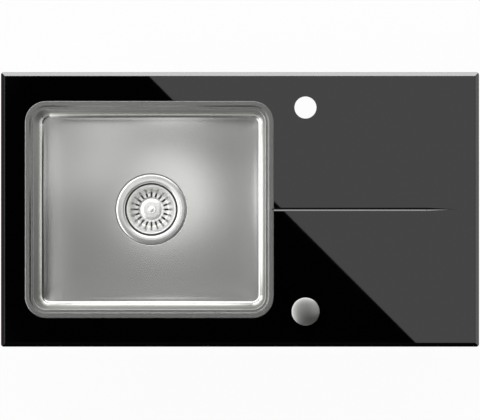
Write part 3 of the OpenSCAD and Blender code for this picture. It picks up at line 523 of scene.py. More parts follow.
def startTree(name, inputs):
    tree = bpy.data.node_groups.new(name, "GeometryNodeTree")
    tree.interface.new_socket("Geometry", in_out="INPUT", socket_type="NodeSocketGeometry")
    for label, kind in inputs:
        tree.interface.new_socket(label, in_out="INPUT", socket_type="NodeSocket" + kind)
    tree.interface.new_socket("Geometry", in_out="OUTPUT", socket_type="NodeSocketGeometry")
    start = tree.nodes.new("NodeGroupInput")
    end = tree.nodes.new("NodeGroupOutput")
    return tree, start.outputs, end.inputs


def closeTree(tree, copies, material, end, join=0):
    whole = geoNode(tree, "RealizeInstances", {0: copies})
    if join:
        whole = geoNode(tree, "MergeByDistance", {"Geometry": whole, "Distance": join})
    dressed = geoNode(tree, "SetMaterial", {"Geometry": whole, "Material": material})
    tree.links.new(dressed, end["Geometry"])
    return tree


# Copies of one sector, set side by side round a vertical axis.
def sectorTree():
    inputs = [("Count", "Int"), ("Centre", "Vector"), ("Material", "Material")]
    tree, given, end = startTree("sectorRing", inputs)
    spots = geoNode(tree, "Points", {"Count": given["Count"]})
    step = maths(tree, "DIVIDE", 2 * math.pi, given["Count"])
    angle = combine(tree, 0.0, 0.0, times(tree, geoNode(tree, "InputIndex"), step))
    sectors = {"Points": spots, "Instance": given["Geometry"], "Rotation": angle}
    whole = geoNode(tree, "RealizeInstances", {0: geoNode(tree, "InstanceOnPoints", sectors)})
    placed = geoNode(tree, "Transform", {"Geometry": whole, "Translation": given["Centre"]})
    return closeTree(tree, placed, given["Material"], end, mergeWithin)


# A thread's ridge or a spring: a wire on a helix that starts at each point of the given mesh.
def threadTree():
    sizes = [(name, "Float") for name in ("Radius", "Pitch", "Length", "Ridge")]
    others = [("Steps", "Int"), ("Sides", "Int"), ("Material", "Material")]
    tree, given, end = startTree("threadRidge", sizes + others)
    line = geoNode(tree, "CurveSpiral", {
        "Resolution": given["Steps"], "Rotations": maths(tree, "DIVIDE", given["Length"], given["Pitch"]),
        "Start Radius": given["Radius"], "End Radius": given["Radius"], "Height": given["Length"],
    })
    section = geoNode(tree, "CurvePrimitiveCircle", {"Resolution": given["Sides"], "Radius": given["Ridge"]})
    wire = geoNode(tree, "CurveToMesh", {"Curve": line, "Profile Curve": section, "Fill Caps": True})
    spots = geoNode(tree, "MeshToPoints", {"Mesh": given["Geometry"]})
    copies = geoNode(tree, "InstanceOnPoints", {"Points": spots, "Instance": wire})
    return closeTree(tree, copies, given["Material"], end)


# Low round marks along the edges of the given mesh, such as spot welds.
def markTree():
    sizes = [(name, "Float") for name in ("Spacing", "Radius", "Height")]
    tree, given, end = startTree("markRow", sizes + [("Material", "Material")])
    line = geoNode(tree, "MeshToCurve", {"Mesh": given["Geometry"]})
    spots = geoNode(tree, "CurveToPoints", {"Curve": line, "Length": given["Spacing"]}, mode="LENGTH")
    bead = geoNode(tree, "MeshUVSphere", {"Segments": 16, "Rings": 8, "Radius": given["Radius"]})
    flat = combine(tree, 1.0, 1.0, maths(tree, "DIVIDE", given["Height"], given["Radius"]))
    copies = geoNode(tree, "InstanceOnPoints", {"Points": spots, "Instance": bead, "Scale": flat})
    return closeTree(tree, copies, given["Material"], end)


def grow(thing, tree, values):
    modifier = thing.modifiers.new(tree.name, "NODES")
    modifier.node_group = tree
    for item in tree.interface.items_tree:
        if item.in_out == "INPUT" and item.name in values:
            modifier[item.identifier] = values[item.name]
    return applied(thing)


sectorRing = sectorTree()
threadRidge = threadTree()
markRow = markTree()


def joined(first, *others):
    whole = bmesh.new()
    for thing in (first, *others):
        whole.from_mesh(thing.data)
    whole.to_mesh(first.data)
    whole.free()
    for thing in others:
        bpy.data.objects.remove(thing)
    return first


# Sizes are in millimetres. The steps are those of one turn, and the sides those of the wire.
def thread(spots, radius, pitch, length, material, ridge, steps, sides=4):
    sizes = {"Radius": radius - ridge, "Pitch": pitch, "Length": length, "Ridge": ridge}
    values = {name: size * mm for name, size in sizes.items()}
    values.update({"Steps": steps, "Sides": sides, "Material": material})
    return grow(meshObject("threadWire", spots, []), threadRidge, values)


# Bowl
bowl = {
    "width": 406, "depth": 354, "cornerRadius": 35, "drop": 190, "sheet": 0.9,
    "rimLip": 0.15, "rimHeight": 1.5, "rimEdge": 1.15, "rimFlat": 7.4, "rimEase": 0.9,
    "ledgeHeight": 1.1, "ledgeStart": 9.8, "foldRadius": 1.2,
    "wallTop": 14.24, "wallFoot": 16.61, "footRadius": 9, "footRise": 1.6,
    "floorStart": 27, "floorRise": 0.9, "edgeFall": 1.3, "edgeReach": 9, "dishFall": 3,
    "floorLoops": 24, "firstLoop": 0.1, "loopCrowding": 1.6,
    "dishRadius": 60.3, "recessRadius": 58.7, "recessDrop": 2.2, "holeRadius": 45.5,
    "cornerSteps": 22, "sideSteps": 26, "grainInset": 8,
    "notchLength": 3.4, "notchWidth": 5.2, "notchPast": 2, "notchAbove": 1,
}


# One loop of the bowl, inset from the rim's outline.
def bowlLoop(inset):
    halfX, halfY = bowl["width"] / 2 - bowl["cornerRadius"], bowl["depth"] / 2 - bowl["cornerRadius"]
    r = bowl["cornerRadius"] - inset
    signs = (1, 1), (-1, 1), (-1, -1), (1, -1)
    points = []
    for k, (sx, sy) in enumerate(signs):
        for i in range(bowl["cornerSteps"]):
            a = math.pi / 2 * (k + i / bowl["cornerSteps"])
            points.append((sx * halfX + r * math.cos(a), sy * halfY + r * math.sin(a)))
        nextX, nextY = signs[(k + 1) % 4]
        a = math.pi / 2 * (k + 1)
        fromX, fromY = sx * halfX + r * math.cos(a), sy * halfY + r * math.sin(a)
        toX, toY = nextX * halfX + r * math.cos(a), nextY * halfY + r * math.sin(a)
        for i in range(bowl["sideSteps"]):
            t = i / bowl["sideSteps"]
            points.append((fromX + (toX - fromX) * t, fromY + (toY - fromY) * t))
    return np.array(points)


# Rim, ledge and wall, from the rim's outer edge down to the floor's edge, as (inset, height).
def bowlWall():
    rim, ledge, ease, low = bowl["rimHeight"], bowl["ledgeHeight"], bowl["rimEase"], -bowl["drop"]
    return roundedLine([
        (0, bowl["rimLip"], 0), (0, rim, bowl["rimEdge"]), (bowl["rimFlat"], rim, ease),
        (bowl["ledgeStart"], ledge, ease), (bowl["wallTop"], ledge, bowl["foldRadius"]),
        (bowl["wallFoot"], low + bowl["footRise"], bowl["footRadius"]),
        (bowl["floorStart"], low + bowl["floorRise"], 0),
    ], 9)


# Loops from the floor's edge to the dish round the waste, which fall with the distance from the sides.
def bowlFloor(edge, circle):
    loops, levels = [], []
    halves = edge.max(axis=0)
    rest = bowl["dishFall"] + bowl["floorRise"] - bowl["edgeFall"]
    for t in np.linspace(bowl["firstLoop"], 1, bowl["floorLoops"]) ** bowl["loopCrowding"]:
        spots = edge * (1 - t) + circle * bowl["dishRadius"] * t
        gaps = np.concatenate([halves - spots, halves + spots], axis=1).clip(1e-3)
        inward = (gaps ** -2.0).sum(axis=1) ** -0.5
        outward = np.linalg.norm(spots, axis=1) - bowl["dishRadius"]
        fall = bowl["edgeFall"] * (1 - np.exp(-inward / bowl["edgeReach"]))
        loops.append(spots)
        levels.append(bowl["floorRise"] - bowl["drop"] - fall - rest * inward / (inward + outward))
    return loops, levels


# The recess that the strainer's flange lies in, as (radius, height).
def bowlRecess():
    foot = -bowl["drop"] - bowl["dishFall"]
    floor = foot - bowl["recessDrop"]
    return roundedLine([
        (bowl["dishRadius"], foot, 0), (bowl["recessRadius"] + 0.9, foot - 0.05, 0.7),
        (bowl["recessRadius"], floor, 0.5), (bowl["holeRadius"], floor, 0),
    ], 4)[1:]


# Distances in metres along a row of points in millimetres.
def runOf(points):
    return np.concatenate([[0], np.cumsum(np.linalg.norm(np.diff(points, axis=0), axis=1))]) * mm


def makeBowl():
    line = bowlWall()
    loops = [bowlLoop(p.x) for p in line]
    edge = loops[-1]
    angles = np.arctan2(edge[:, 1], edge[:, 0])
    circle = np.stack([np.cos(angles), np.sin(angles)], 1)
    floorLoops, floorLevels = bowlFloor(edge, circle)
    recess = bowlRecess()
    loops += floorLoops + [circle * p.x for p in recess]
    levels = [p.y for p in line] + floorLevels + [p.y for p in recess]
    rings = [np.column_stack([loop, np.full(len(loop), level)]) for loop, level in zip(loops, levels)]
    points = np.concatenate(rings) * mm + (bowlX, 0, glassTop)
    outer = bowlLoop(bowl["grainInset"])
    run, lengths = runOf(np.vstack([outer, outer[:1]])), runOf(np.array([tuple(p) for p in line]))
    faces, uvs = [], []
    count = len(edge)
    corners = (0, 0), (1, 0), (1, 1), (0, 1)
    # The grain follows the rim and the walls. The floor's runs along X, a metre away in the map.
    for i in range(len(loops) - 1):
        for k in range(count):
            faces.append([(i + down) * count + (k + on) % count for on, down in corners])
            if i + 1 < len(line):
                uvs += [(run[k + on], lengths[i + down]) for on, down in corners]
            else:
                uvs += [(points[v][0], points[v][1] + 1) for v in faces[-1]]
    thing = meshObject("bowlShell", points, faces, uvs)
    thicken(thing, bowl["sheet"])
    cutter = notchCutter()
    notch = thing.modifiers.new("notch", "BOOLEAN")
    notch.operation = "DIFFERENCE"
    notch.object = cutter
    notch.solver = "EXACT"
    settle(thing, 40)
    bpy.data.objects.remove(cutter)
    return finishPiece(thing, bowlBrushed, "bowl")


# The small notch through which the drain groove enters the bowl.
def notchCutter():
    end = bowlX + bowl["width"] / 2 * mm
    low, high = glassTop - bowl["rimLip"] * mm, glassTop + (bowl["rimHeight"] + bowl["notchAbove"]) * mm
    half = bowl["notchWidth"] / 2 * mm
    points = []
    for x in (end - bowl["notchLength"] * mm, end + bowl["notchPast"] * mm):
        points += [(x, 0, low), (x, half, high), (x, -half, high)]
    faces = [(0, 2, 1), (3, 4, 5), (0, 1, 4, 3), (1, 2, 5, 4), (2, 0, 3, 5)]
    thing = meshObject("notchCutter", points, faces)
    weld(thing.data)
    return thing


makeBowl()
print("bowl made")

# Glass deck
glass = {"ease": 0.3, "angle": 12, "segments": 3, "flatArea": 30e-6}
finishPiece(eased("glass_deck", **glass), blackGlass, "glass_deck")
print("glass made")


# Strainer and basket


# One sector of a turned sheet. Its opening's half angle at a point of the line is opening(point).
def sheetSector(name, line, sector, opening, columns):
    rows = []
    for p in line:
        gap = opening(p)
        row = []
        for t in np.linspace(-1, 1, 2 * columns + 1):
            if t == 0:
                row += [-gap, gap]
            else:
                side = math.copysign(1, t)
                row.append(side * (gap + (sector / 2 - gap) * abs(t)))
        rows.append((p, gap, row))
    width = 2 * columns + 2
    points = [(p.x * mm * math.cos(a), p.x * mm * math.sin(a), p.y * mm) for p, gap, row in rows for a in row]
    faces = []
    for i in range(len(rows) - 1):
        for k in range(width - 1):
            if k == columns and (rows[i][1] > 0 or rows[i + 1][1] > 0):
                continue
            faces.append((i * width + k, i * width + k + 1, (i + 1) * width + k + 1, (i + 1) * width + k))
    return meshObject(name, points, faces)


# Extra points along a line, so that an opening's ends are round.
def finer(line, longest):
    points = [line[0]]
    for a, b in zip(line, line[1:]):
        parts = max(1, math.ceil((b - a).length / longest))
        points += [a + (b - a) * (k + 1) / parts for k in range(parts)]
    return points


def sheetRing(thing, count, material, thickness):
    weld(thing.data, 1e-8, False)
    grow(thing, sectorRing, {"Count": count, "Centre": wasteCentre, "Material": material})
    weld(thing.data, mergeWithin)
    face = max(thing.data.polygons, key=lambda f: f.center.z)
    if face.normal.z < 0:
        thing.data.flip_normals()
    thicken(thing, thickness)
    return settle(thing, 42)


strainer = {
    "flangeRadius": 58.1, "throatRadius": 44, "crown": 1.75, "depth": 33, "taper": 1.8, "footRadius": 5,
    "sheet": 1, "bore": 6.1, "holes": 8, "holeRing": 24, "holeRadius": 6, "floorReach": 0.3,
    "columns": 12, "finest": 0.75,
}


def makeStrainer():
    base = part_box("strainer_cup")[0].z / mm + strainer["depth"]
    r, throat, top = strainer["flangeRadius"], strainer["throatRadius"], strainer["sheet"]
    floor = top - strainer["depth"]
    line = roundedLine([
        (r, 0.2, 0), (r, 0.85, 0.3), (r - 2.4, 1.38, 6), (r - 7, strainer["crown"], 16),
        (throat + 3, strainer["crown"] - 0.15, 2.5), (throat + 0.1, top - 0.6, 2.4), (throat, -8, 20),
        (throat - strainer["taper"], floor, strainer["footRadius"]), (strainer["bore"], floor, 0),
    ], 7)
    line = finer([Vector((p.x, p.y + base)) for p in line], strainer["finest"])
    ring, hole = strainer["holeRing"], strainer["holeRadius"]

    def opening(p):
        if abs(p.y - floor - base) > strainer["floorReach"] or abs(p.x - ring) >= hole:
            return 0.0
        return math.acos((p.x ** 2 + ring ** 2 - hole ** 2) / (2 * ring * p.x))

    sector = 2 * math.pi / strainer["holes"]
    thing = sheetSector("strainerCup", line, sector, opening, strainer["columns"])
    sheetRing(thing, strainer["holes"], wasteTurned, strainer["sheet"])
    return finishPiece(thing, wasteTurned, "strainer_cup")


basket = {
    "rimRadius": 41.3, "lip": 1.7, "depth": 20.7, "sheet": 0.7, "footRadius": 29.4, "bossHeight": 6.5,
    "boss": [(21.9, 0, 1.2), (20.9, 3.2, 2.2), (17.6, 5.7, 5), (13, 6.5, 12)],
    "bore": 2.2, "slots": 20, "slotWidth": 2.9, "slotStart": 21.3, "slotEnd": 35, "slotTop": 2,
    "columns": 5, "finest": 0.45,
}


def makeBasket():
    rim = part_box("basket_cup")[1].z / mm
    floor = rim - basket["depth"]
    r, lip = basket["rimRadius"], basket["rimRadius"] - basket["lip"]
    line = roundedLine([
        (r, rim - 0.25, 0), (r - 0.3, rim, 0.3), (lip, rim, 0.8), (lip - 1.1, rim - 1.6, 1.5),
        (basket["footRadius"], floor, 3.2), *[(x, floor + y, ease) for x, y, ease in basket["boss"]],
        (basket["bore"], floor + basket["bossHeight"], 0),
    ], 6)
    line = finer(line, basket["finest"])
    run = [0.0]
    for a, b in zip(line, line[1:]):
        run.append(run[-1] + (b - a).length)
    where = {(p.x, p.y): s for p, s in zip(line, run)}
    low = [(p.x, s) for p, s in zip(line, run) if p.y < rim - basket["slotTop"]]
    inSlot = [s for x, s in low if basket["slotStart"] <= x <= basket["slotEnd"]]
    first, last, half = min(inSlot), max(inSlot), basket["slotWidth"] / 2

    def opening(p):
        s = where[(p.x, p.y)]
        if s <= first or s >= last:
            return 0.0
        end = min(s - first, last - s)
        width = half if end >= half else math.sqrt(max(half ** 2 - (half - end) ** 2, 0))
        return math.asin(width / p.x)

    thing = sheetSector("basketCup", line, 2 * math.pi / basket["slots"], opening, basket["columns"])
    sheetRing(thing, basket["slots"], basketTurned, basket["sheet"])
    return finishPiece(thing, basketTurned, "basket_cup")


makeStrainer()
makeBasket()

trim = {
    "disc": 15, "discHeight": 1.5, "bore": 2.2, "knob": 6.7, "knobHeight": 8, "knobFlat": 0.62,
    "undercut": -32, "neck": 4, "rivet": 2.1, "rivetLength": 4.2,
    "sealGap": 0.1, "sealLip": 1.5, "sealStep": 1.0,
}


def makeDisc():
    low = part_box("basket_disc")[0].z / mm
    bore, r, h = trim["bore"], trim["disc"], trim["discHeight"]
    outline = roundedLine([
        (bore, low, 0), (r - 0.2, low, 0.2), (r, low + 0.2, 0.2), (r, low + h * 0.6, 0.5),
        (r - 1.4, low + h * 0.95, 1.5), (r - 4, low + h, 8), (bore, low + h, 0),
    ], 6)
    turnedFitting("basket_disc", "basketDisc", outline, wasteCentre, basketTurned)
    return low + h


# The knob stands on the disc and is riveted through it.
def makeKnob(top):
    knob, neck, foot = trim["knob"], trim["neck"], top - trim["rivetLength"]
    high = knob * trim["knobFlat"]
    middle = top + trim["knobHeight"] - high
    angles = np.radians(np.linspace(trim["undercut"], 90, 22))
    cap = [Vector((knob * math.cos(a), middle + high * math.sin(a))) for a in angles]
    cap[-1].x = 0
    outline = [Vector((0, foot)), Vector((trim["rivet"], foot)), Vector((trim["rivet"], top))]
    outline += roundedLine([
        (neck + 1.4, top, 0), (neck + 1.1, top + 0.7, 0.5), (neck, top + 1.4, 1),
        (neck, middle - knob * 0.5, 0),
    ], 5)
    outline += cap
    turnedFitting("basket_knob", "basketKnob", outline, wasteCentre, basketTurned, steps=64)


def makeSeal():
    low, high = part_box("basket_seal")
    out, rim, under = high.x / mm - bowlX / mm, high.z / mm, low.z / mm
    inner = basket["rimRadius"] + trim["sealGap"]
    lip, step = inner - trim["sealLip"], rim - trim["sealStep"]
    outline = roundedLine([
        (inner, rim, 0), (out - 0.1, rim, 0.5), (out, rim - 1.5, 0), (out - 0.35, rim - 1.9, 0.2),
        (out, rim - 2.3, 0), (out, under + 0.4, 0.4), (out - 1, under, 0.4), (lip, under, 0.3),
        (lip, step, 0), (inner, step, 0),
    ], 4)
    turnedFitting("basket_seal", "basketSeal", outline, wasteCentre, sealRubber, 35)


makeKnob(makeDisc())
makeSeal()
print("strainer and basket made")

# Push button. The thread's depth is a share of its pitch.
button = {
    "radius": 22.75, "skirt": 3.4, "dome": 2.6, "wall": 1.3, "shank": 16, "plainTop": 2.4,
    "threadPitch": 1.5, "threadDepth": 0.7, "threadShort": 4.4, "ridge": 0.62,
    "flange": 21.85, "flangeHeight": 1.5, "sleeve": 20.95, "stemHole": 4.1,
    "springRadius": 8, "springGap": 2, "wire": 1.2, "turns": 6, "travel": 7,
}


def makeCap():
    bottom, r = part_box("button_cap")[0].z / mm, button["radius"]
    top = bottom + button["skirt"]
    inner, ceiling = r - button["wall"], top - button["wall"]
    dome = (r * r + button["dome"] ** 2) / (2 * button["dome"])
    half = math.asin((r - 0.9) / dome)
    domeTop = top + button["dome"]
    outline = roundedLine([
        (0, ceiling, 0), (inner, ceiling, 0.4), (inner, bottom, 0.2), (r - 0.05, bottom, 0.3),
        (r, bottom + 0.4, 0.3), (r, top - 0.15, 0.3), (r - 0.9, domeTop + dome * math.cos(half) - dome, 0),
    ], 5)
    for a in half * (1 - np.linspace(0.05, 1, 24)):
        outline.append(Vector((dome * math.sin(a), domeTop + dome * math.cos(a) - dome)))
    outline[-1].x = 0
    turnedFitting("button_cap", "buttonCap", outline, buttonCentre, buttonTurned, 30, 160)


def makeCollar():
    low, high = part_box("button_collar")
    foot, sleeveTop, seat = low.z / mm, high.z / mm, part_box("collar_gasket")[1].z / mm
    core, plain = button["shank"] - button["threadPitch"] * button["threadDepth"], button["shank"] - 0.6
    pocket, shelf = button["springRadius"] + button["springGap"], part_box("button_spring")[0].z / mm - 0.1
    flangeTop, plainFoot = seat + button["flangeHeight"], seat - button["plainTop"]
    hole, flange, sleeve = button["stemHole"], button["flange"], button["sleeve"]
    outline = roundedLine([
        (hole, foot, 0), (core - 0.8, foot, 0.3), (core, foot + 0.8, 0.3), (core, plainFoot - 0.6, 0.2),
        (plain, plainFoot, 0.2), (plain, seat, 0), (flange, seat, 0.3), (flange, flangeTop, 0.5),
        (sleeve, flangeTop, 0.1), (sleeve, sleeveTop, 0.3), (pocket, sleeveTop, 0.3), (pocket, shelf, 0.2),
        (hole, shelf, 0),
    ], 4)
    collar = turnedPiece("buttonCollar", outline, buttonCentre)
    start, run = (*buttonCentre.xy, (foot + 0.8) * mm), seat - foot - button["threadShort"]
    sizes = button["shank"], button["threadPitch"], run
    ridge = thread([start], *sizes, collarTurned, button["ridge"], 72)
    finishPiece(settle(joined(collar, ridge), 35), collarTurned, "button_collar")


# The return spring, which shortens with the button's travel, gets a mesh of its own.
def makeSpring():
    low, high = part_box("button_spring")
    wire, length = button["wire"] / 2, (high.z - low.z) / mm
    run = (high.z - low.z - 2 * wire * mm) / mm
    start = (*buttonCentre.xy, low.z + wire * mm)
    radius = button["springRadius"] + wire
    coil = thread([start], radius, run / button["turns"], run, springDrawn, wire, 40, 10)
    coil.name = "returnSpring"
    finishPiece(settle(coil, 60), springDrawn, "button_spring")
    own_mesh(coil)


makeCap()
makeCollar()
makeSpring()
print("button made")

# Waste body and clamps
outlet = {"radius": 23.9, "pitch": 3, "ridge": 1.0, "length": 18, "runIn": 1.2, "runOut": 1.4, "ease": 0.5}
clamps = {
    "screwRadius": 3, "pitch": 1, "ridge": 0.5, "headDrop": 2, "runOut": 0.6, "plainTip": 5, "spacing": 8,
    "ease": 0.25,
}
touching = {"height": 1e-5, "radius": 2e-5}  # metres


# Moves a cylinder's wall to another radius, between two heights.
def narrowed(centres, radius, newRadius, low, high):
    def change(shape):
        for v in shape.verts:
            if not low - touching["height"] <= v.co.z <= high + touching["height"]:
                continue
            for c in centres:
                away = Vector((v.co.x - c[0], v.co.y - c[1]))
                if abs(away.length - radius * mm) < touching["radius"]:
                    away *= newRadius / radius
                    v.co.x, v.co.y = c[0] + away.x, c[1] + away.y
    return change


def makeWaste():
    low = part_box("waste_outlet")[0].z
    core = outlet["radius"] - outlet["ridge"]
    slimmer = narrowed([wasteCentre], outlet["radius"], core, low, low + outlet["length"] * mm)
    pipe = eased("waste_outlet", outlet["ease"], 30, 2, slimmer)
    start = (wasteCentre.x, 0, low + outlet["runIn"] * mm)
    run = outlet["length"] - outlet["runIn"] - outlet["runOut"]
    ridge = thread([start], outlet["radius"], outlet["pitch"], run, wasteWhite, outlet["ridge"], 96)
    finishPiece(settle(joined(pipe, ridge), 40), wasteWhite, "waste_outlet")


# Threads every clamp screw and returns their number.
def makeScrews():
    source = frame["nodes"]["clamp_screws"].data
    points = np.array([v.co for v in source.vertices])
    low, high = points[:, 2].min(), points[:, 2].max()
    tops = points[points[:, 2] > high - touching["height"]]
    apart, centres = clamps["spacing"] * mm, []
    for p in tops:
        if all(math.dist(p[:2], c) > apart for c in centres):
            near = tops[np.linalg.norm(tops[:, :2] - p[:2], axis=1) < apart]
            centres.append(tuple((near.min(0) + near.max(0))[:2] / 2))
    radius, core = clamps["screwRadius"], clamps["screwRadius"] - clamps["ridge"]
    slimmer = narrowed(centres, radius, core, low + clamps["plainTip"] * mm, high)
    screws = eased("clamp_screws", clamps["ease"], 30, 2, slimmer)
    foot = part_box("clamp_jaws")[0].z + clamps["headDrop"] * mm
    spots, run = [(x, y, foot) for x, y in centres], (high - foot) / mm - clamps["runOut"]
    ridges = thread(spots, radius, clamps["pitch"], run, zincPlate, clamps["ridge"], 14)
    finishPiece(settle(joined(screws, ridges), 40), zincPlate, "clamp_screws")
    return len(centres)


makeWaste()
print("waste body made;", makeScrews(), "clamp screws threaded")

# The other fittings keep their shape, with eased corners
dressing = [
    ("deck_bond", 0.25, siliconeBlack), ("bowl_bond", 0.2, siliconeBlack),
    ("carrier_tray", 0.15, carrierRolled), ("clip_rails", 0.2, carrierRolled),
    ("worktop_gasket", 0.5, foamStrip), ("clamp_brackets", 0.25, zincPlate),
    ("clamp_jaws", 0.25, zincPlate), ("clamp_nuts", 0.5, zincPlate), ("bowl_pads", 0.8, bitumenPad),
    ("deck_pad", 0.8, bitumenPad), ("strainer_seal", 0.3, sealRubber), ("body_seal", 0.4, sealRubber),
    ("centre_screw", 0.3, basketTurned), ("basket_socket", 0.4, partBlack),
    ("lifter_pin", 0.2, basketTurned), ("crank_shaft", 0.4, partBlack), ("crank_lever", 0.5, wasteWhite),
    ("lever_screw", 0.3, zincPlate), ("shaft_gland", 0.5, wasteWhite), ("cable_bracket", 0.5, wasteWhite),
    ("cable_gland", 0.4, partBlack), ("button_stem", 0.3, partBlack), ("collar_gasket", 0.2, sealRubber),
    ("button_washer", 0.4, sealRubber), ("button_nut", 0.5, wasteWhite), ("cable_box", 0.6, wasteWhite),
    ("box_gland", 0.4, partBlack), ("waste_body", 0.5, wasteWhite), ("screw_bridge", 0.4, wasteWhite),
]
for node, ease, material in dressing:
    finishPiece(eased(node, ease), material, node)


# Spot welds that hold the rails under the carrier
welds = {"depth": 0.8, "inset": 6, "end": 40, "spacing": 30, "radius": 2.5, "height": 0.3}


def makeWelds():
    low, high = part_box("clip_rails")
    level = high.z - welds["depth"] * mm
    inset, end = welds["inset"] * mm, welds["end"] * mm
    points = []
    for x in (low.x + inset, high.x - inset):
        points += [(x, low.y + end, level), (x, high.y - end, level)]
    for y in (low.y + inset, high.y - inset):
        points += [(low.x + end, y, level), (high.x - end, y, level)]
    rows = meshObject("spotWelds", points, [], edges=[(i, i + 1) for i in range(0, len(points), 2)])
    values = {name.capitalize(): welds[name] * mm for name in ("spacing", "radius", "height")}
    grow(rows, markRow, {**values, "Material": carrierRolled})
    paint(settle(rows, 60), carrierRolled)
    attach(rows, "sink")


makeWelds()
print("fittings dressed:", len(dressing))

# Floor, light and camera
studio = {
    "floorLevel": -0.2865, "floorSize": 12.0, "floorTone": 0.9, "floorWhite": 0.95,
    "cameraHeight": 9.0, "cameraShift": -0.0009, "frameWidth": 0.7829, "sensor": 36, "clipEnd": 60,
    "glareLine": 0.0078, "glareReach": 0.06, "glare": 1.45,
}


def makeFloor():
    half = studio["floorSize"] / 2
    z = studio["floorLevel"]
    corners = [(-half, -half, z), (half, -half, z), (half, half, z), (-half, half, z)]
    floor = meshObject("studioFloor", corners, [(0, 1, 2, 3)])
    material, tree, shader, place = startMaterial("paleFloor")
    tones = [grey(studio["floorTone"] * share) for share in (0.99, 1.01)]
    tone = blendColours(tree, noise(tree, place, 3.0), *tones)
    feed(tree, shader, {"Base Color": tone, "Roughness": 0.9})
    seen = addNode(tree, "ShaderNodeLightPath").outputs["Is Camera Ray"]
    white = addNode(tree, "ShaderNodeEmission", {"Color": (1, 1, 1, 1), "Strength": 1.0}).outputs[0]
    share = times(tree, seen, studio["floorWhite"])
    lit = addNode(tree, "ShaderNodeMixShader", {0: share, 1: shader.outputs[0], 2: white}).outputs[0]
    back = addNode(tree, "ShaderNodeNewGeometry").outputs["Backfacing"]
    clear = addNode(tree, "ShaderNodeBsdfTransparent").outputs[0]
    hidden = times(tree, back, seen)
    whole = addNode(tree, "ShaderNodeMixShader", {0: hidden, 1: lit, 2: clear}).outputs[0]
    tree.links.new(whole, tree.nodes["Material Output"].inputs["Surface"])
    floor.data.materials.append(material)


# Soft panels of the room: tilt from overhead (from, to), direction in plan, strength. Angles in degrees.
room = {
    "horizon": 0.4, "horizonStart": 72, "horizonFull": 84, "softTilt": 2.0, "softTurn": 0.12, "halfTurn": 45,
    "panels": [
        (3.5, 12, 90, 0.32), (3.5, 12, 270, 0.2), (3.5, 12, 180, 0.35),
        (24, 46, 90, 3.0), (23, 46, 180, 2.7), (26, 46, 270, 0.2),
        (54, 66, 180, 1.6), (66, 76, 270, 1.3), (66, 76, 0, 1.2),
    ],
}


# The room: white to the camera, with one pane straight overhead that makes the glare on the glass.
def makeWorld():
    world = bpy.data.worlds.new("studioRoom")
    scene.world = world
    world.use_nodes = True
    tree = world.node_tree
    x, y, z = split(tree, addNode(tree, "ShaderNodeTexCoord").outputs["Generated"])
    level = combine(tree, x, y)
    flat = vectorMaths(tree, "LENGTH", level, output=1)
    course = vectorMaths(tree, "NORMALIZE", level)
    tilt = times(tree, maths(tree, "ARCCOSINE", z), 180 / math.pi)
    strength = remap(tree, tilt, room["horizonStart"], room["horizonFull"], 0.0, room["horizon"], True)
    limit, softTurn = math.cos(math.radians(room["halfTurn"])), room["softTurn"]
    soft = room["softTilt"] / 2
    for start, end, turn, value in room["panels"]:
        aim = (math.cos(math.radians(turn)), math.sin(math.radians(turn)), 0)
        toward = vectorMaths(tree, "DOT_PRODUCT", course, aim, output=1)
        inTurn = softStep(tree, toward, limit - softTurn, limit + softTurn)
        above = softStep(tree, tilt, start - soft, start + soft)
        below = remap(tree, tilt, end - soft, end + soft, 1.0, 0.0, True)
        inside = times(tree, times(tree, above, below), inTurn)
        strength = plus(tree, strength, times(tree, inside, value))
    pane = maths(tree, "GREATER_THAN", plus(tree, x, y), studio["glareLine"])
    pane = times(tree, pane, maths(tree, "LESS_THAN", flat, studio["glareReach"]))
    pane = times(tree, pane, maths(tree, "GREATER_THAN", z, 0.0))
    strength = plus(tree, strength, times(tree, pane, studio["glare"]))
    seen = addNode(tree, "ShaderNodeLightPath").outputs["Is Camera Ray"]
    unseen = times(tree, strength, maths(tree, "SUBTRACT", 1.0, seen))
    total = plus(tree, unseen, seen)
    feed(tree, tree.nodes["Background"], {"Strength": total, "Color": (1, 1, 1, 1)})


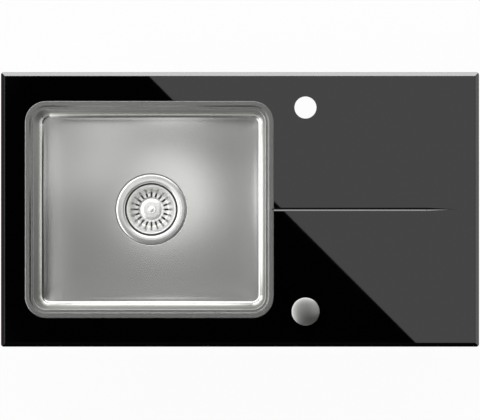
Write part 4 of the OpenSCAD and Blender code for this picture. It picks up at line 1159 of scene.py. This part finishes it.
# Name, place, size, radiance, target, the pieces it lights, and its spread in degrees where it is narrow
lamps = [
    ("backStrip", (0.0, 2.674, 1.9), (1.6, 0.3), 15.0, (0, 0.224, 0), "noSteel"),
    ("rightStrip", (2.935, 0.0, 1.9), (1.2, 0.3), 2.4, (0.39, 0, 0), "noSteel"),
    ("grooveStrip", (0.25, 2.74, 2.65), (0.7, 0.34), 5.7, (0.2, 0, 0), "noSteel"),
    ("overBowl", (-0.12, 0.03, 0.3), (0.1, 0.1), 1.75, (-0.12, 0.03, 0), "all", 70),
    ("overDrain", (-0.05, -0.02, 0.3), (0.18, 0.18), 0.35, (-0.15, 0, -0.19), "waste"),
    ("overBack", (-0.24, 0.08, 0.3), (0.1, 0.1), 0.9, (-0.24, 0.08, 0), "all", 70),
    ("overButton", (0.31, -0.12, 0.33), (0.16, 0.3), 0.55, (0.106, -0.166, 0), "button"),
    ("leftWall", (-0.328, 0, -0.096), (0.26, 0.152), 2.3, (0, 0, -0.096), "all"),
    ("rightWall", (0.032, 0, -0.075), (0.26, 0.11), 0.8, (-0.3, 0, -0.075), "all"),
    ("backWall", (-0.148, 0.156, -0.096), (0.31, 0.152), 2.1, (-0.148, 0, -0.096), "all"),
]
wasteTops = "strainerCup", "basketCup", "basketDisc", "basketKnob"
# The pieces that a lamp is kept from or kept to
lampGroups = [
    ("noSteel", "EXCLUDE", ("bowlShell", *wasteTops, "buttonCap")), ("waste", "INCLUDE", wasteTops),
    ("button", "INCLUDE", ("buttonCap",)),
]


def makeLamps():
    groups = {}
    for group, state, names in lampGroups:
        groups[group] = bpy.data.collections.new(group)
        for name in names:
            groups[group].objects.link(bpy.data.objects[name])
        for entry in groups[group].collection_objects:
            entry.light_linking.link_state = state
    for name, place, size, radiance, target, group, *spread in lamps:
        light = bpy.data.lights.new(name, "AREA")
        light.shape = "RECTANGLE"
        light.size, light.size_y = size
        light.energy = radiance * math.pi * size[0] * size[1]
        if spread:
            light.spread = math.radians(spread[0])
            light.energy *= 1 - light.spread / 2 / math.tan(light.spread / 2)  # keeps the radiance
        lamp = bpy.data.objects.new(name, light)
        lamp.location = place
        lamp.rotation_euler = (Vector(target) - Vector(place)).to_track_quat("-Z", "Y").to_euler()
        lamp.visible_camera = False
        if group in groups:
            lamp.light_linking.receiver_collection = groups[group]
        scene.collection.objects.link(lamp)


def makeCamera():
    lens = bpy.data.cameras.new("overhead")
    lens.sensor_width = studio["sensor"]
    lens.lens = studio["sensor"] * (studio["cameraHeight"] - glassTop) / studio["frameWidth"]
    lens.clip_end = studio["clipEnd"]
    camera = bpy.data.objects.new("overhead", lens)
    camera.location = (0, studio["cameraShift"], studio["cameraHeight"])
    scene.collection.objects.link(camera)
    scene.camera = camera


makeFloor()
makeWorld()
makeLamps()
makeCamera()
scene.view_settings.view_transform = "Standard"
print("studio made")
